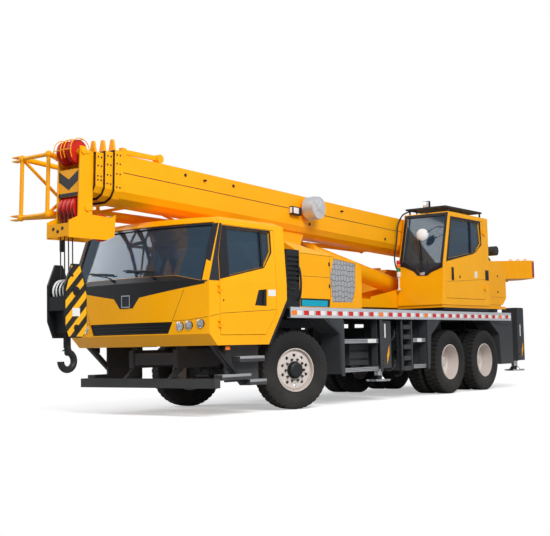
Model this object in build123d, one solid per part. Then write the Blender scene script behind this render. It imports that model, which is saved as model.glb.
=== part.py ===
"""Three-axle 16-tonne-class truck crane, built as separate sub-parts.

Millimetres. X is across the vehicle (+X its left side), Y runs from nose to tail, Z is up from the ground.
The origin is on the ground at the middle of the machine's length and width. A station is a distance behind
the front axle. The front wheels stand steered to the right, as parked.
"""
import os
from math import atan2, cos, degrees, hypot, radians, sin, tan

from build123d import *

UPRIGHT = (Align.CENTER, Align.CENTER, Align.MIN)    # a cylinder that stands on its place

# ---------------------------------------------------------------- driving dimensions
half_width = 1250            # half of the road width, deck skirts and cab
front_axle_y = -2496  # the whole machine, hook block to counterweight, is centred on the origin
wheelbase = 4360             # front axle to the first axle of the bogie
bogie_spread = 1350          # between the two rear axles
slew_station = 5000          # turntable centre behind the front axle
running_gap = 0.05           # radial clearance of a shaft in its bore
seat_gap = 0.3               # clearance of curved parts that sit in each other

# wheels
tyre_radius = 542.5
tyre_width = 290
rim_radius = 300
rim_wall = 12
rim_half_width = 118
front_track = 2074
rear_pair_track = 1834       # between the middles of the twin wheels
twin_pitch = 330             # between the two tyres of a twin wheel
spindle_radius = 55
hub_radius = 120
kingpin_x = 860
steer_at_rest = -21          # degrees about +Z, negative is towards the vehicle's right
brake_drum_radius = 205

# frame
rail_outer = 440
rail_thickness = 80
rail_top = 1120
rail_bottom = 840
front_rail_top = 860         # the frame drops below the driver's cab
front_rail_bottom = 620
frame_front_station = -1760
frame_rear_station = 7480
deck_top = 1410
deck_skirt_bottom = 1270
deck_plate = 15
deck_front_station = -354
deck_rear_station = 6800

# outriggers: one transverse box per beam
beam_depth = 230
beam_height = 250
beam_wall = 12
beam_gap = 8
housing_wall = 14
housing_half_length = 860
jack_box_size = 300
jack_inner = 890
jack_outer = 1205
jack_rod_radius = 60
jack_bore = jack_rod_radius + 0.3
foot_radius = 190
foot_bottom = 300
foot_thickness = 28

# driver's cab
cab_front_station = -2250
cab_corner_back = 190        # how far the front corners lie behind the nose
cab_rear_station = -432
cab_bottom = 905
cab_lip_top = 1050
cab_belt = 1725
cab_eaves = 2500
cab_roof = 2560
cab_wall = 50
windscreen_lean = 285
side_lean = 45
door_front_station = -1852
door_rear_station = -662
door_bottom = 1030
door_top = 2440
door_gap = 7
glass_thickness = 8
screen_top_x = 1140          # windscreen opening: half width at the top
screen_top_z = 2450
screen_sill_x = 780          # its lower edge is level up to here
screen_sill_z = 1795
screen_corner_x = 1165       # and droops to this corner
screen_corner_z = 1712
screen_cut_station = -1732   # how far back the cut for it reaches
mask_depth = 12              # black panel let into the front below the windscreen
mask_strip = 2
mask_end_x = 1195
mask_end_z = 1675
mask_dip_x = 228             # where its lower edge turns down to the badge place
mask_dip_z = 1532
mask_badge_x = 118
mask_bottom_z = 1400
grille_top = 1210
grille_bottom = 1062
grille_top_half = 745
grille_foot_half = 680
HEADLAMPS = ((850, 1152), (975, 1162), (1130, 1178))     # x, z

# engine hood behind the cab
hood_front_station = -55
hood_rear_station = 1600
hood_half_width = 1180
hood_top_front = 2360        # ridge at the front, slanting down to the sides
hood_ridge_half = 900        # half width of the flat top at the front
hood_shoulder = 2183         # height of the side plates' upper edge
hood_top_middle = 2172
hood_top_rear = 2118
hood_wall = 25
hood_panel_depth = 12
# the parked boom stands this far above its rest, so that the jib can pass over it
rest_gap = 90
# station, z
HOOD_PANEL = ((792, 1495), (1337, 1506), (1416, 1702), (1436, 2092), (839, 2140), (743, 1876))
HOOD_PLATE = ((-20, 1424), (715, 1424), (735, 1540), (-20, 1540))

# steps
step_inner = 1080
step_outer = 1215
step_half_height = 35
CAB_STEPS = ((-1435, -909, 720), (-1793, -1199, 495), (-1232, -870, 415))     # first and last station, z

# superstructure
slew_ring_radius = 620
slew_ring_top = 1500
base_half_width = 315
cheek_thickness = 30
cheek_outer = 315
pivot_station = 6750
pivot_height = 2700
pivot_pin_radius = 65
lift_foot_station = 5000
lift_foot_height = 1840
lift_pin_radius = 50
op_cab_inner = 325
op_cab_outer = 1205
op_cab_front_station = 4135
op_cab_screen_station = 4460
op_cab_rear_station = 6000
op_cab_bottom = 1530
op_cab_belt = 2250
op_cab_roof = 3165
op_cab_wall = 45
OP_SCREEN_FOOT = ((456, 2286), (686, 2159), (737, 2090), (875, 2083), (940, 2144), (1150, 2209))     # x, z
ballast_bottom = 2120
ballast_top = 2480
ballast_rear_station = 8425

# boom, in its own frame: pivot at the origin, pointing along -Y, top up
boom_rise = 2.0              # degrees above level as parked
boom_width = 540
boom_height = 610
boom_top = 318               # above the pivot
boom_wall = 10
section_step = 30            # each section is this much smaller on every side
boom_reach = 9480            # pivot to the face of the base section's collar
boom_tail = 210              # behind the pivot
collar_length = 125
collar_proud = 30
collar_gap = 8
section_rear_step = 170      # each section's rear end lies this much ahead of the last
head_length = 208
head_half_width = 200
head_plate = 20
sheave_radius = 170
top_sheave_radius = 150
top_sheave_height = 270      # above the pivot line
top_sheave_setback = 42      # behind the head's front edge
sheave_axis_drop = 430       # hoist sheave axis below the pivot line in the boom's frame
lift_eye_reach = 5520        # pivot to the lift cylinder's eye along the boom
lift_eye_drop = 410          # below the pivot line
reel_y = -5320               # hose reel on the boom's left side
reel_z = 123
reel_radius = 170
lamp_y = -5630               # work lamp ahead of it
lamp_z = 52

# lift cylinder
barrel_radius = 150
barrel_bore = 125
lift_rod_radius = 90
barrel_head_setback = 620    # from the rod's eye to the mouth of the barrel

# hook block
rope_radius = 8
rope_offsets = (-108, -36, 36, 108)
block_half_width = 150
block_depth = 350
block_top = 1925
block_bottom = 1030
block_sheave_radius = 140
block_sheave_drop = 330      # sheave axis below the top of the cheeks
hook_bottom = 605

# hinges of the doors
hinge_pin_radius = 8
hinge_knuckle_radius = 15
hinge_offset = 16            # hinge axis outside the door's face
hinge_knuckle_height = 44
door_hinge_heights = (1180, 1620)
op_door_hinge_heights = (1860, 2880)

# worked out from the sizes above
housing_depth = beam_depth + 2 * (beam_gap + housing_wall)
housing_height = beam_height + 2 * (beam_gap + housing_wall)
# name, station of the left beam, station of the right beam, height of the beams' middle, top of the jack box
OUTRIGGERS = (
    ("front", 2225, 2225 + housing_depth + 20, 990, 1235),
    ("rear", 7320, 7320 - housing_depth - 20, 1260, 1510),
)
slew_ring_seat = 1425        # underside of the slew ring
pedestal_bore = 470          # radius of the hole through the pedestal
# stations of the brackets that carry the deck
DECK_BRACKETS = (-150, 640, 1240, 1860, 3150, 3850, 6300)
wheel_z = tyre_radius
front_wheel_x = front_track / 2
rear_wheel_x = rear_pair_track / 2
hanger_top = deck_skirt_bottom - 12    # what hangs from the deck's frame ends here
last_axle = wheelbase + bogie_spread
rear_stations = (wheelbase, last_axle)
wheel_arch = tyre_radius + 77.5        # from an axle to the wall of the guard behind it


def st(distance):
    """Y of a station, a distance behind the front axle."""
    return front_axle_y + distance


# ---------------------------------------------------------------- shape helpers
def block(x0, x1, y0, y1, z0, z1):
    """Box between two corners."""
    size = Box(x1 - x0, y1 - y0, z1 - z0)
    return Pos((x0 + x1) / 2, (y0 + y1) / 2, (z0 + z1) / 2) * size


def hinge_knuckles(face, y, heights, reach):
    """Door half of its hinges: bored knuckles on arms that lie on the door's face, reach along Y."""
    parts = []
    for z in heights:
        half = hinge_knuckle_height / 2
        end, root = y + reach, y + reach * 0.35
        arm = block(face + 1, face + hinge_offset, min(y, end), max(y, end), z - half + 3, z + half - 3)
        arm = arm + block(face - 3, face + 2, min(root, end), max(root, end), z - half + 3, z + half - 3)
        knuckle_barrel = Pos(face + hinge_offset, y, z) * Cylinder(hinge_knuckle_radius, 2 * half)
        bore = Pos(face + hinge_offset, y, z) * Cylinder(hinge_pin_radius + running_gap, 4 * half)
        parts.append(arm + knuckle_barrel - bore)
    return parts


def hinge_brackets(face, y, heights, reach):
    """Fixed half of the hinges: two lugs and a pin at each height, on arms that reach the other way."""
    parts = []
    for z in heights:
        half = hinge_knuckle_height / 2
        for s in (-1, 1):
            middle = z + s * (half + 14)
            lug = Pos(face + hinge_offset, y, middle) * Cylinder(hinge_knuckle_radius, 24)
            end, root = y - reach, y - reach * 0.15
            arm = block(face + 1, face + hinge_offset, min(y, end), max(y, end), middle - 12, middle + 12)
            foot = block(face - 3, face + 2, min(root, end), max(root, end), middle - 12, middle + 12)
            parts += [lug, arm, foot]
        parts.append(Pos(face + hinge_offset, y, z) * Cylinder(hinge_pin_radius, 2 * half + 40))
    return parts


def both(x0, x1, y0, y1, z0, z1):
    """The same box on the left and on the right side, as a list."""
    return [block(x0, x1, y0, y1, z0, z1), block(-x1, -x0, y0, y1, z0, z1)]


def side_prism(points, x0, x1):
    """Outline of (y, z) corners, extruded across the vehicle from x0 to x1."""
    plane = Plane(origin=(x0, 0, 0), x_dir=(0, 1, 0), z_dir=(1, 0, 0))
    return extrude(plane * make_face(Polyline(*points, close=True)), amount=x1 - x0)


def plan_prism(points, z0, z1):
    """Outline of (x, y) corners, extruded upwards from z0 to z1."""
    return extrude(Pos(0, 0, z0) * make_face(Polyline(*points, close=True)), amount=z1 - z0)


def front_prism(points, y0, y1):
    """Outline of (x, z) corners, extruded along the vehicle from y0 to y1."""
    plane = Plane(origin=(0, y0, 0), x_dir=(1, 0, 0), z_dir=(0, -1, 0))
    return extrude(plane * make_face(Polyline(*points, close=True)), amount=y0 - y1)


def ring_x(points):
    """Outline of (x, r) corners, revolved about the X axis."""
    return revolve(make_face(Polyline(*points, close=True)), axis=Axis.X)


def rod(start, end, radius):
    """Round bar between two points."""
    a, b = Vector(*start), Vector(*end)
    plane = Plane(origin=a, z_dir=b - a)
    return extrude(plane * Circle(radius), amount=(b - a).length)


def fuse(parts):
    """One shape from a list."""
    whole = parts[0]
    for part in parts[1:]:
        whole = whole + part
    return whole


def group(parts):
    """Separate solids that share one node."""
    solids = []
    for part in parts:
        solids += part.solids()
    return Compound(children=solids)


def mirrored(part):
    """The same part on the other side of the vehicle."""
    return mirror(part, about=Plane.YZ)


# ---------------------------------------------------------------- chassis frame


def rails():
    """The two rails, dropped below the cab, with the cab's four mounts."""
    inner = rail_outer - rail_thickness
    outline = [(st(frame_front_station), front_rail_top), (st(-880), front_rail_top), (st(-580), rail_top),
               (st(frame_rear_station), rail_top), (st(frame_rear_station), rail_bottom), (st(-690),
                                                                                           rail_bottom),
               (st(-950), front_rail_bottom), (st(frame_front_station), front_rail_bottom)]
    bars = [side_prism(outline, inner, rail_outer), side_prism(outline, -rail_outer, -inner)]
    for station in (-1640, -960):
        bars += both(inner, rail_outer, st(station - 60), st(station + 60), front_rail_top - 1, cab_bottom)
    return bars


def crossmembers():
    """Cross tubes between the rails."""
    bars = []
    inner = rail_outer - rail_thickness
    # station, bottom, top
    for station, low, high in ((-1700, 660, 820), (-900, 660, 820), (-330, 900, 1060), (1985, 900, 1060),
                               (3500, 900, 1060), (wheelbase, 900, 1060), (last_axle, 900, 1060)):
        bars.append(block(-inner, inner, st(station - 45), st(station + 45), low, high))
    return bars


def beam_tunnel(station, height):
    """Space that one outrigger beam slides in, right through the machine."""
    depth = beam_depth / 2 + beam_gap
    tall = beam_height / 2 + beam_gap
    return block(-half_width, half_width, st(station) - depth, st(station) + depth, height - tall,
                 height + tall)


def beam_pads(side, station, height):
    """Wear pads above, below and beside a beam at the mouth of its box."""
    y, half_y, half_z = st(station), beam_depth / 2, beam_height / 2
    x0, x1 = sorted((side * (housing_half_length - 70), side * (housing_half_length - 5)))
    pads = []
    for s in (-1, 1):
        a, b = sorted((s * (half_z + seat_gap), s * (half_z + beam_gap + 1)))
        pads.append(block(x0, x1, y - 90, y + 90, height + a, height + b))
        a, b = sorted((s * (half_y + seat_gap), s * (half_y + beam_gap + 1)))
        pads.append(block(x0, x1, y + a, y + b, height - 90, height + 90))
    return pads


def chassis_frame():
    """Rails, cross tubes, outrigger boxes, turntable pedestal and deck brackets, welded into one."""
    parts = rails() + crossmembers()
    for _, left, right, height, _ in OUTRIGGERS:
        for station in (left, right):
            parts.append(block(-housing_half_length, housing_half_length,
                               st(station) - housing_depth / 2, st(station) + housing_depth / 2,
                               height - housing_height / 2, height + housing_height / 2))
        low, high = min(left, right), max(left, right)
        parts.append(block(-rail_outer, rail_outer, st(low) + housing_depth / 2 - 1,
                           st(high) - housing_depth / 2 + 1,
                           height - housing_height / 2 + 20, height + housing_height / 2 - 20))
    pedestal_height = slew_ring_seat - rail_top
    pedestal = Pos(0, st(slew_station), rail_top) * Cylinder(slew_ring_radius, pedestal_height, align=UPRIGHT)
    parts.append(pedestal)
    for station in (slew_station - 560, slew_station + 560):
        parts.append(block(-rail_outer, rail_outer, st(station - 60), st(station + 60), rail_bottom,
                           rail_top))
    for station in DECK_BRACKETS:
        for side in (-1, 1):
            a, b = sorted((side * (rail_outer - 20), side * (half_width - deck_plate)))
            parts.append(block(a, b, st(station - 25), st(station + 25), deck_skirt_bottom + 20,
                               deck_top - deck_plate))
            a, b = sorted((side * (rail_outer - 20), side * (rail_outer + 90)))
            parts.append(block(a, b, st(station - 25), st(station + 25), rail_top - 120,
                               deck_skirt_bottom + 30))
    whole = fuse(parts)
    for _, left, right, height, _ in OUTRIGGERS:
        for station in (left, right):
            whole = whole - beam_tunnel(station, height)
        whole = fuse([whole] + beam_pads(1, left, height) + beam_pads(-1, right, height))
    bore = Pos(0, st(slew_station), rail_bottom - 10) * Cylinder(pedestal_bore, 800, align=UPRIGHT)
    return whole - bore


def deck():
    """Catwalk: side plates with folded skirts, joined behind the hood and round the turntable."""
    y0, y1 = st(deck_front_station), st(deck_rear_station)
    plate = block(-half_width, half_width, y0, y1, deck_top - deck_plate, deck_top)
    well = Pos(0, st(slew_station), deck_top - 50) * Cylinder(slew_ring_radius + 40, 100)
    channel = block(-hood_half_width + 60, hood_half_width - 60, y0 - 1, st(hood_rear_station) - 40,
                    deck_top - 50, deck_top + 50)
    skirts = both(half_width - deck_plate, half_width, y0, y1, deck_skirt_bottom, deck_top)
    lips = both(half_width - 60, half_width, y0, y1, hanger_top, deck_skirt_bottom)
    ends = [block(-half_width, half_width, y1 - deck_plate, y1, deck_skirt_bottom, deck_top)]
    return fuse([plate - well - channel] + skirts + lips + ends)


# ---------------------------------------------------------------- wheels
def tyre(middle):
    """Tyre standing at x = middle, about the X axis."""
    half, tread = tyre_width / 2, tyre_width / 2 - 32
    bead = rim_half_width - 14
    bore = rim_radius + seat_gap
    outline = [(-bead, bore), (-half, bore + 92), (-half, bore + 142), (-tread - 12, tyre_radius - 20),
               (-tread + 6, tyre_radius)]
    outline += [(-x, r) for x, r in reversed(outline)]
    return Pos(middle, 0, 0) * ring_x(outline)


def rim_barrel(middle):
    """Rim well of one tyre: outline of (x, r) corners."""
    edge, wall = rim_half_width, rim_wall
    return ring_x([(middle - edge, rim_radius), (middle + edge, rim_radius), (middle + edge,
                                                                              rim_radius - wall),
                   (middle - edge, rim_radius - wall)])


def dish(points):
    """Wheel disc from its (x, r) corners, with hand holes between hub and barrel."""
    disc = ring_x(points)
    hole_circle = 204
    holes = [Rot(X=36 * i) * Pos(0, 0, hole_circle) * Rot(Y=90) * Cylinder(24, 500) for i in range(10)]
    return disc - fuse(holes)


def front_rim():
    """Front wheel: disc near the outer face, hub and drum inside, outer side towards +X."""
    edge = rim_radius - rim_wall
    disc = dish([(34, edge + 1), (58, edge + 1), (84, 250), (84, hub_radius - 5), (68, hub_radius - 5),
                 (68, 246)])
    hub = ring_x([(-60, 0), (-60, hub_radius), (84, hub_radius), (96, hub_radius - 18),
                  (150, hub_radius - 24),
                  (160, 70), (160, 0)])
    drum = ring_x([(-82, 0), (-82, brake_drum_radius), (-30, brake_drum_radius), (-30, 0)])
    socket = Pos(-40, 0, 0) * Rot(Y=90) * Cylinder(spindle_radius + running_gap, 2 * 80)
    return fuse([rim_barrel(0), disc, hub, drum]) - socket


def rear_rim():
    """Twin rear wheel: two deep dished rims bolted back to back on one hub."""
    edge = rim_radius - rim_wall
    pitch = twin_pitch / 2
    near = pitch - rim_half_width
    disc = dish([(0, hub_radius - 5), (0, 246), (near + 6, edge + 1), (near + 34, edge + 1), (18, 238),
                 (18, hub_radius - 5)])
    hub = ring_x([(-150, 0), (-150, hub_radius), (70, hub_radius), (88, 96), (150, 84), (158, 60), (158, 0)])
    drum = ring_x([(-150, 0), (-150, brake_drum_radius), (-40, brake_drum_radius), (-40, 0)])
    socket = Pos(-100, 0, 0) * Rot(Y=90) * Cylinder(spindle_radius + running_gap, 2 * 80)
    return fuse([rim_barrel(pitch), rim_barrel(-pitch), disc, mirrored(disc), hub, drum]) - socket


def steered(part, side):
    """A front corner's part, turned about its kingpin to the parked steering angle."""
    x, y = side * kingpin_x, st(0)
    return Pos(x, y, 0) * Rot(Z=steer_at_rest) * Pos(-x, -y, 0) * part


def left_or_right(part, side):
    """Mirror a left-hand part for the right side."""
    return part if side > 0 else mirrored(part)


def knuckle(side):
    """Steering knuckle: two ears round the beam's end, kingpin, spindle and steering arm."""
    z = wheel_z
    ears = [Pos(kingpin_x, 0, z + s * 112) * Cylinder(58, 50) for s in (-1, 1)]
    web = block(kingpin_x + 56, kingpin_x + 84, -60, 60, z - 137, z + 137)
    ties = [block(kingpin_x, kingpin_x + 60, -40, 40, z + s * 112 - 25, z + s * 112 + 25) for s in (-1, 1)]
    spindle = rod((kingpin_x + 60, 0, z), (front_wheel_x + 28, 0, z), spindle_radius)
    pin = Pos(kingpin_x, 0, z) * Cylinder(25, 240)
    arm = block(kingpin_x - 50, kingpin_x + 10, 40, 300, z - 137, z - 107)
    whole = fuse(ears + [web, spindle, pin, arm] + ties)
    return steered(Pos(0, st(0), 0) * left_or_right(whole, side), side)


def front_wheel_part(part, side):
    """Place a wheel part of the front axle."""
    return steered(Pos(side * front_wheel_x, st(0), wheel_z) * left_or_right(part, side), side)


def rear_wheel_part(part, side, station):
    """Place a wheel part of the bogie."""
    return Pos(side * rear_wheel_x, st(station), wheel_z) * left_or_right(part, side)


# ---------------------------------------------------------------- axles and springs
def front_axle():
    """Forged I-beam with eyes for the kingpins."""
    z = wheel_z
    half = kingpin_x
    beam = front_prism([(-half, z - 55), (-half, z + 55), (-560, z + 10), (560, z + 10), (half, z + 55),
                        (half, z - 55), (560, z - 70), (-560, z - 70)], st(0) - 50, st(0) + 50)
    eyes = [Pos(s * half, st(0), z) * Cylinder(54, 160) for s in (-1, 1)]
    trim = [Pos(s * half, st(0), z) * Cylinder(25 + running_gap, 400) for s in (-1, 1)]
    clear = [block(min(s * (half + 30), s * (half + 400)), max(s * (half + 30), s * (half + 400)),
                   st(0) - 100, st(0) + 100, z - 200, z + 200) for s in (-1, 1)]
    whole = fuse([beam] + eyes)
    for cut in trim + clear:
        whole = whole - cut
    return whole


def rear_axle(station):
    """Driven axle: banjo housing with a spindle at each end."""
    z, y = wheel_z, st(station)
    inner = rear_wheel_x - twin_pitch / 2 - rim_half_width
    tube = rod((-inner + 10, y, z), (inner - 10, y, z), 85)
    bowl = Pos(0, y, z) * Sphere(230)
    tips = [rod((s * (inner - 20), y, z), (s * (rear_wheel_x - 30), y, z), spindle_radius) for s in (-1, 1)]
    nose = rod((0, y - 330, z), (0, y, z), 95)
    return fuse([tube, bowl, nose] + tips)


def axles():
    """All three axle beams with the leaf springs."""
    return group([front_axle()] + [rear_axle(station) for station in rear_stations] + leaf_springs())


def spring_pack(middle, half_span, low, high, leaf):
    """Arched leaf pack seen from the side, as a (y, z) outline with arcs."""
    y = st(middle)
    lower = ThreePointArc((y - half_span, high - leaf), (y, low), (y + half_span, high - leaf))
    upper = ThreePointArc((y + half_span, high), (y, low + leaf * 2), (y - half_span, high))
    ends = [Line((y + half_span, high - leaf), (y + half_span, high)),
            Line((y - half_span, high), (y - half_span, high - leaf))]
    plane = Plane(origin=(rail_outer - rail_thickness, 0, 0), x_dir=(0, 1, 0), z_dir=(1, 0, 0))
    return extrude(plane * make_face([lower, ends[0], upper, ends[1]]), amount=rail_thickness)


def leaf_springs():
    """Front leaf packs on the beam, rear packs pivoted between the bogie axles, with their hangers."""
    packs = []
    front = spring_pack(0, 640, wheel_z + 10, 790, 40)
    packs.append(front)
    for s in (-1, 1):
        y = st(s * 610)
        packs.append(block(rail_outer - rail_thickness, rail_outer, y - 40, y + 40, 780, rail_bottom))
    middle = wheelbase + bogie_spread / 2
    rear_low = 690
    y = st(middle)
    rear = spring_pack(middle, bogie_spread / 2 + 60, rear_low, 700, 30)
    packs.append(rear)
    packs.append(block(rail_outer - rail_thickness, rail_outer, y - 110, y + 110, 735, rail_bottom))
    for station in rear_stations:
        saddle = block(rail_outer - rail_thickness, rail_outer, st(station) - 55, st(station) + 55,
                       wheel_z + 50, 682)
        packs.append(saddle - rod((300, st(station), wheel_z), (500, st(station), wheel_z), 85 + seat_gap))
    left = fuse(packs[:3]), fuse(packs[3:])
    return list(left) + [mirrored(part) for part in left]


# ---------------------------------------------------------------- driver's cab
def cab_layers(inset):
    """Heights, front, rear and half width of the cab at each level, drawn in by inset."""
    front, rear = st(cab_front_station), st(cab_rear_station)
    # z, y of the nose, y of the back, half width
    return (
        (cab_bottom + inset, front + 150 + inset, rear - inset, half_width - inset),
        (cab_lip_top, front + inset, rear - inset, half_width - inset),
        (cab_belt, front + inset, rear - inset, half_width - inset),
        (cab_eaves - inset * 0.4, front + windscreen_lean + inset, rear - inset,
         half_width - side_lean - inset),
        (cab_roof - inset, front + windscreen_lean + 130 + inset, rear - 40 - inset,
         half_width - 190 - inset),
    )


def cab_outline(z, nose, back, half):
    """Plan of the cab at one level: a bowed front and three straight sides."""
    corner = nose + cab_corner_back
    edges = [ThreePointArc((-half, corner, z), (0, nose, z), (half, corner, z)),
             Line((half, corner, z), (half, back, z)),
             Line((half, back, z), (-half, back, z)),
             Line((-half, back, z), (-half, corner, z))]
    return make_face(edges)


def cab_body(inset):
    """Closed cab volume, drawn in by inset on every side."""
    faces = [cab_outline(*layer) for layer in cab_layers(inset)]
    slabs = [loft([low, high], ruled=True) for low, high in zip(faces[:-1], faces[1:])]
    whole = fuse(slabs)
    rear = st(cab_rear_station)
    heel = side_prism([(st(-856) - inset * 1.2, cab_bottom - 50), (st(-856) - inset * 1.2, cab_bottom),
                       (rear - inset, 1507 + inset * 0.6), (rear + 200, 1507 + inset * 0.6),
                       (rear + 200, cab_bottom - 50)], -half_width - 10, half_width + 10)
    return whole - heel


def cab_door_outline(gap):
    """Door edge as (y, z) corners, drawn in by gap."""
    y0, y1 = st(door_front_station) + gap, st(door_rear_station) - gap
    heel_z = door_bottom + gap
    return [(y0, heel_z), (st(-905) - gap, heel_z), (y1, 1330 + gap), (y1, door_top - gap),
            (st(-1742) + gap, door_top - gap), (y0, 2020 - gap)]


def cab_window_outline():
    """Side window as (y, z) corners."""
    return [(st(-1660), 1790), (st(-915), 1935), (st(-760), 2135), (st(-760), 2400), (st(-1660), 2400)]


def cab_screen_cut(gap):
    """Space that the windscreen opening takes, its lower corners drooping, smaller by a gap all round."""
    top = screen_top_z - gap
    right = [(screen_top_x - gap, top), (screen_corner_x - gap, screen_corner_z + 2 * gap),
             (screen_sill_x, screen_sill_z + 2 * gap)]
    outline = right + [(-x, z) for x, z in reversed(right)]
    return front_prism(outline, st(cab_front_station) - 50, st(screen_cut_station))


def rear_window_cut(gap, y0, y1):
    """Space of the cab's rear window between two stations, smaller by a gap all round."""
    return block(gap - 800, 800 - gap, y0, y1, 1850 + gap, 2330 - gap)


def cab_shell():
    """Hollow cab with its door ways, windscreen and rear window cut."""
    shell = cab_body(0) - cab_body(cab_wall)
    for side in (-1, 1):
        x0, x1 = sorted((side * (half_width - 260), side * (half_width + 10)))
        shell = shell - side_prism(cab_door_outline(0), x0, x1)
    shell = shell - cab_screen_cut(0)
    shell = shell - rear_window_cut(0, st(cab_rear_station) - 300, st(cab_rear_station) + 50)
    grille = grille_space(0) - cab_body(36)
    mask = front_prism(cab_mask_outline(0), st(cab_front_station) - 20,
                       st(-1900)) - cab_body(mask_depth + seat_gap)
    shell = fuse([shell - mask]) - fuse([headlamp(x, z, 30.3, 57.5) for x, z in headlamp_places()])
    pins = hinge_brackets(half_width, st(door_front_station) - 4, door_hinge_heights, 45)
    return fuse([shell - grille] + pins + [mirrored(pin) for pin in pins])


def cab_door(side):
    """Driver's cab door, as thick as the wall, with its window cut and a handle recess."""
    wall = cab_body(0) - cab_body(cab_wall)
    door = wall & side_prism(cab_door_outline(door_gap), half_width - 250, half_width + 10)
    door = door - side_prism(cab_window_outline(), half_width - 260, half_width + 20)
    recess = side_prism([(st(-1141), 1415), (st(-883), 1410), (st(-875), 1634), (st(-1056), 1619)],
                        half_width - 14, half_width + 20)
    door = door - recess
    grip = side_prism([(st(-955), 1425), (st(-905), 1425), (st(-900), 1612), (st(-940), 1612)],
                      half_width - 14, half_width - 2)
    knuckles = hinge_knuckles(half_width, st(door_front_station) - 4, door_hinge_heights, 55)
    return left_or_right(fuse([door, grip] + knuckles), side)


def cab_glass():
    """Windscreen and rear window."""
    inset = 14
    screen = (cab_body(inset) - cab_body(inset + glass_thickness)) & cab_screen_cut(seat_gap)
    rear = st(cab_rear_station) - 24
    back = rear_window_cut(seat_gap, rear - glass_thickness, rear)
    return group([screen, back])


def cab_mask_outline(gap):
    """Black panel below the windscreen, dipping to a blank badge place in the middle, as (x, z) corners."""
    right = [(screen_sill_x, screen_sill_z - mask_strip - gap), (screen_corner_x,
                                                                 screen_corner_z - mask_strip - gap),
             (mask_end_x - gap, screen_corner_z - 9 - gap), (mask_end_x - gap, mask_end_z + gap),
             (mask_dip_x - gap, mask_dip_z + gap), (mask_badge_x - gap, mask_bottom_z + gap)]
    return right + [(-x, z) for x, z in reversed(right)]


def grille_space(gap):
    """Space of the grille insert, narrower at its foot, drawn in by gap."""
    top, foot = grille_top_half - gap, grille_foot_half - gap
    outline = [(-top, grille_top - gap), (-foot, grille_bottom + gap), (foot, grille_bottom + gap),
               (top, grille_top - gap)]
    return front_prism(outline, st(cab_front_station) - 20, st(-1900))


def headlamp_places():
    """(x, z) of all six lamps."""
    return [(s * x, z) for s in (-1, 1) for x, z in HEADLAMPS]


def headlamp(x, z, depth, radius):
    """Round lamp body that stands a little proud of the bowed front."""
    y = st(cab_front_station) + cab_corner_back * (x / half_width) ** 2
    return rod((x, y - 8, z), (x, y + depth, z), radius)


def cab_grille():
    """Black grille insert with its slats, the mask below the windscreen and the round headlamps."""
    space = grille_space(seat_gap * 2)
    back = (cab_body(24) - cab_body(36 - seat_gap)) & space
    louvre = (cab_body(8) - cab_body(26)) & space
    bars = []
    for z in (1080, 1118, 1156, 1194):
        bars.append(louvre & block(-half_width, half_width, st(cab_front_station) - 20, st(-1900), z - 9,
                                   z + 9))
    mask = (cab_body(1) - cab_body(mask_depth)) & front_prism(cab_mask_outline(seat_gap),
                                                             st(cab_front_station) - 20, st(-1900))
    lamps = [headlamp(x, z, 30, 57) for x, z in headlamp_places()]
    return group([fuse([back] + bars), mask] + lamps)


def cab_interior():
    """Two seats, dashboard, steering column and wheel, standing on the cab floor."""
    floor = cab_bottom + cab_wall
    front, pieces = st(cab_front_station), []
    for x in (-560, 560):
        base = block(x - 190, x + 190, st(-1250), st(-930), floor, floor + 330)
        cushion = block(x - 240, x + 240, st(-1330), st(-830), floor + 330, floor + 450)
        back = side_prism([(st(-870), floor + 440), (st(-740), floor + 440), (st(-600), floor + 1080),
                           (st(-690), floor + 1080)], x - 230, x + 230)
        pieces.append(fuse([base, cushion, back]))
    dash = side_prism([(front + 420, floor), (front + 560, floor), (front + 520, floor + 560),
                       (front + 640, floor + 640), (front + 560, floor + 800), (front + 260, floor + 790)],
                      -1080, 1080)
    column = rod((560, front + 520, floor + 520), (560, front + 760, floor + 830), 32)
    tilt = degrees(atan2(240, 310))
    wheel = Pos(560, front + 770, floor + 842) * Rot(X=-tilt) * (Torus(205, 15) + Cylinder(55, 34))
    spokes = [Pos(560, front + 770, floor + 842) * Rot(X=-tilt) * Rot(Z=a) * Pos(105, 0, 0) * Box(200, 26, 12)
              for a in (90, 210, 330)]
    pieces.append(fuse([dash, column, wheel] + spokes))
    return group(pieces)


def front_bar():
    """Under-run bar on its two struts, below the cab."""
    y = st(-1930)
    bar = block(-1208, 1208, y, y + 110, 368, 488)
    parts = [bar]
    for s in (-1, 1):
        x0, x1 = sorted((s * 370, s * 430))
        parts.append(side_prism([(y + 30, 480), (y + 110, 480), (st(-1600), front_rail_bottom),
                                 (st(-1740), front_rail_bottom)], x0, x1))
    return fuse(parts)


# ---------------------------------------------------------------- hood, engine and what stands on the frame
def hood_outline(inset):
    """Side of the engine hood as (y, z) corners, high in front and nearly level behind."""
    y0, y1 = st(hood_front_station) + inset, st(hood_rear_station) - inset
    foot = deck_top - (60 if inset else 0)
    return [(y0, foot), (y0 + 30, hood_top_front - inset), (y0 + 170, hood_top_front - inset),
            (st(800), hood_top_middle - inset), (y1 - 165, hood_top_rear - inset), (y1 - 30, 2055 - inset),
            (y1, 1900 - inset), (y1 - 20, foot)]


def hood_chamfer(inset):
    """Wedge that slants the hood's left upper edge, from the ridge down to the side plate."""
    run, rise = hood_half_width - hood_ridge_half, hood_top_front - hood_shoulder
    slant = hypot(run, rise)
    x, z = hood_half_width - inset * rise / slant, hood_shoulder - inset * run / slant
    low, high = (x + run, z - rise), (x - 2 * run, z + 2 * rise)
    return front_prism([low, high, (low[0], high[1])], st(hood_front_station) - 50,
                       st(hood_rear_station) + 50)


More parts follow.
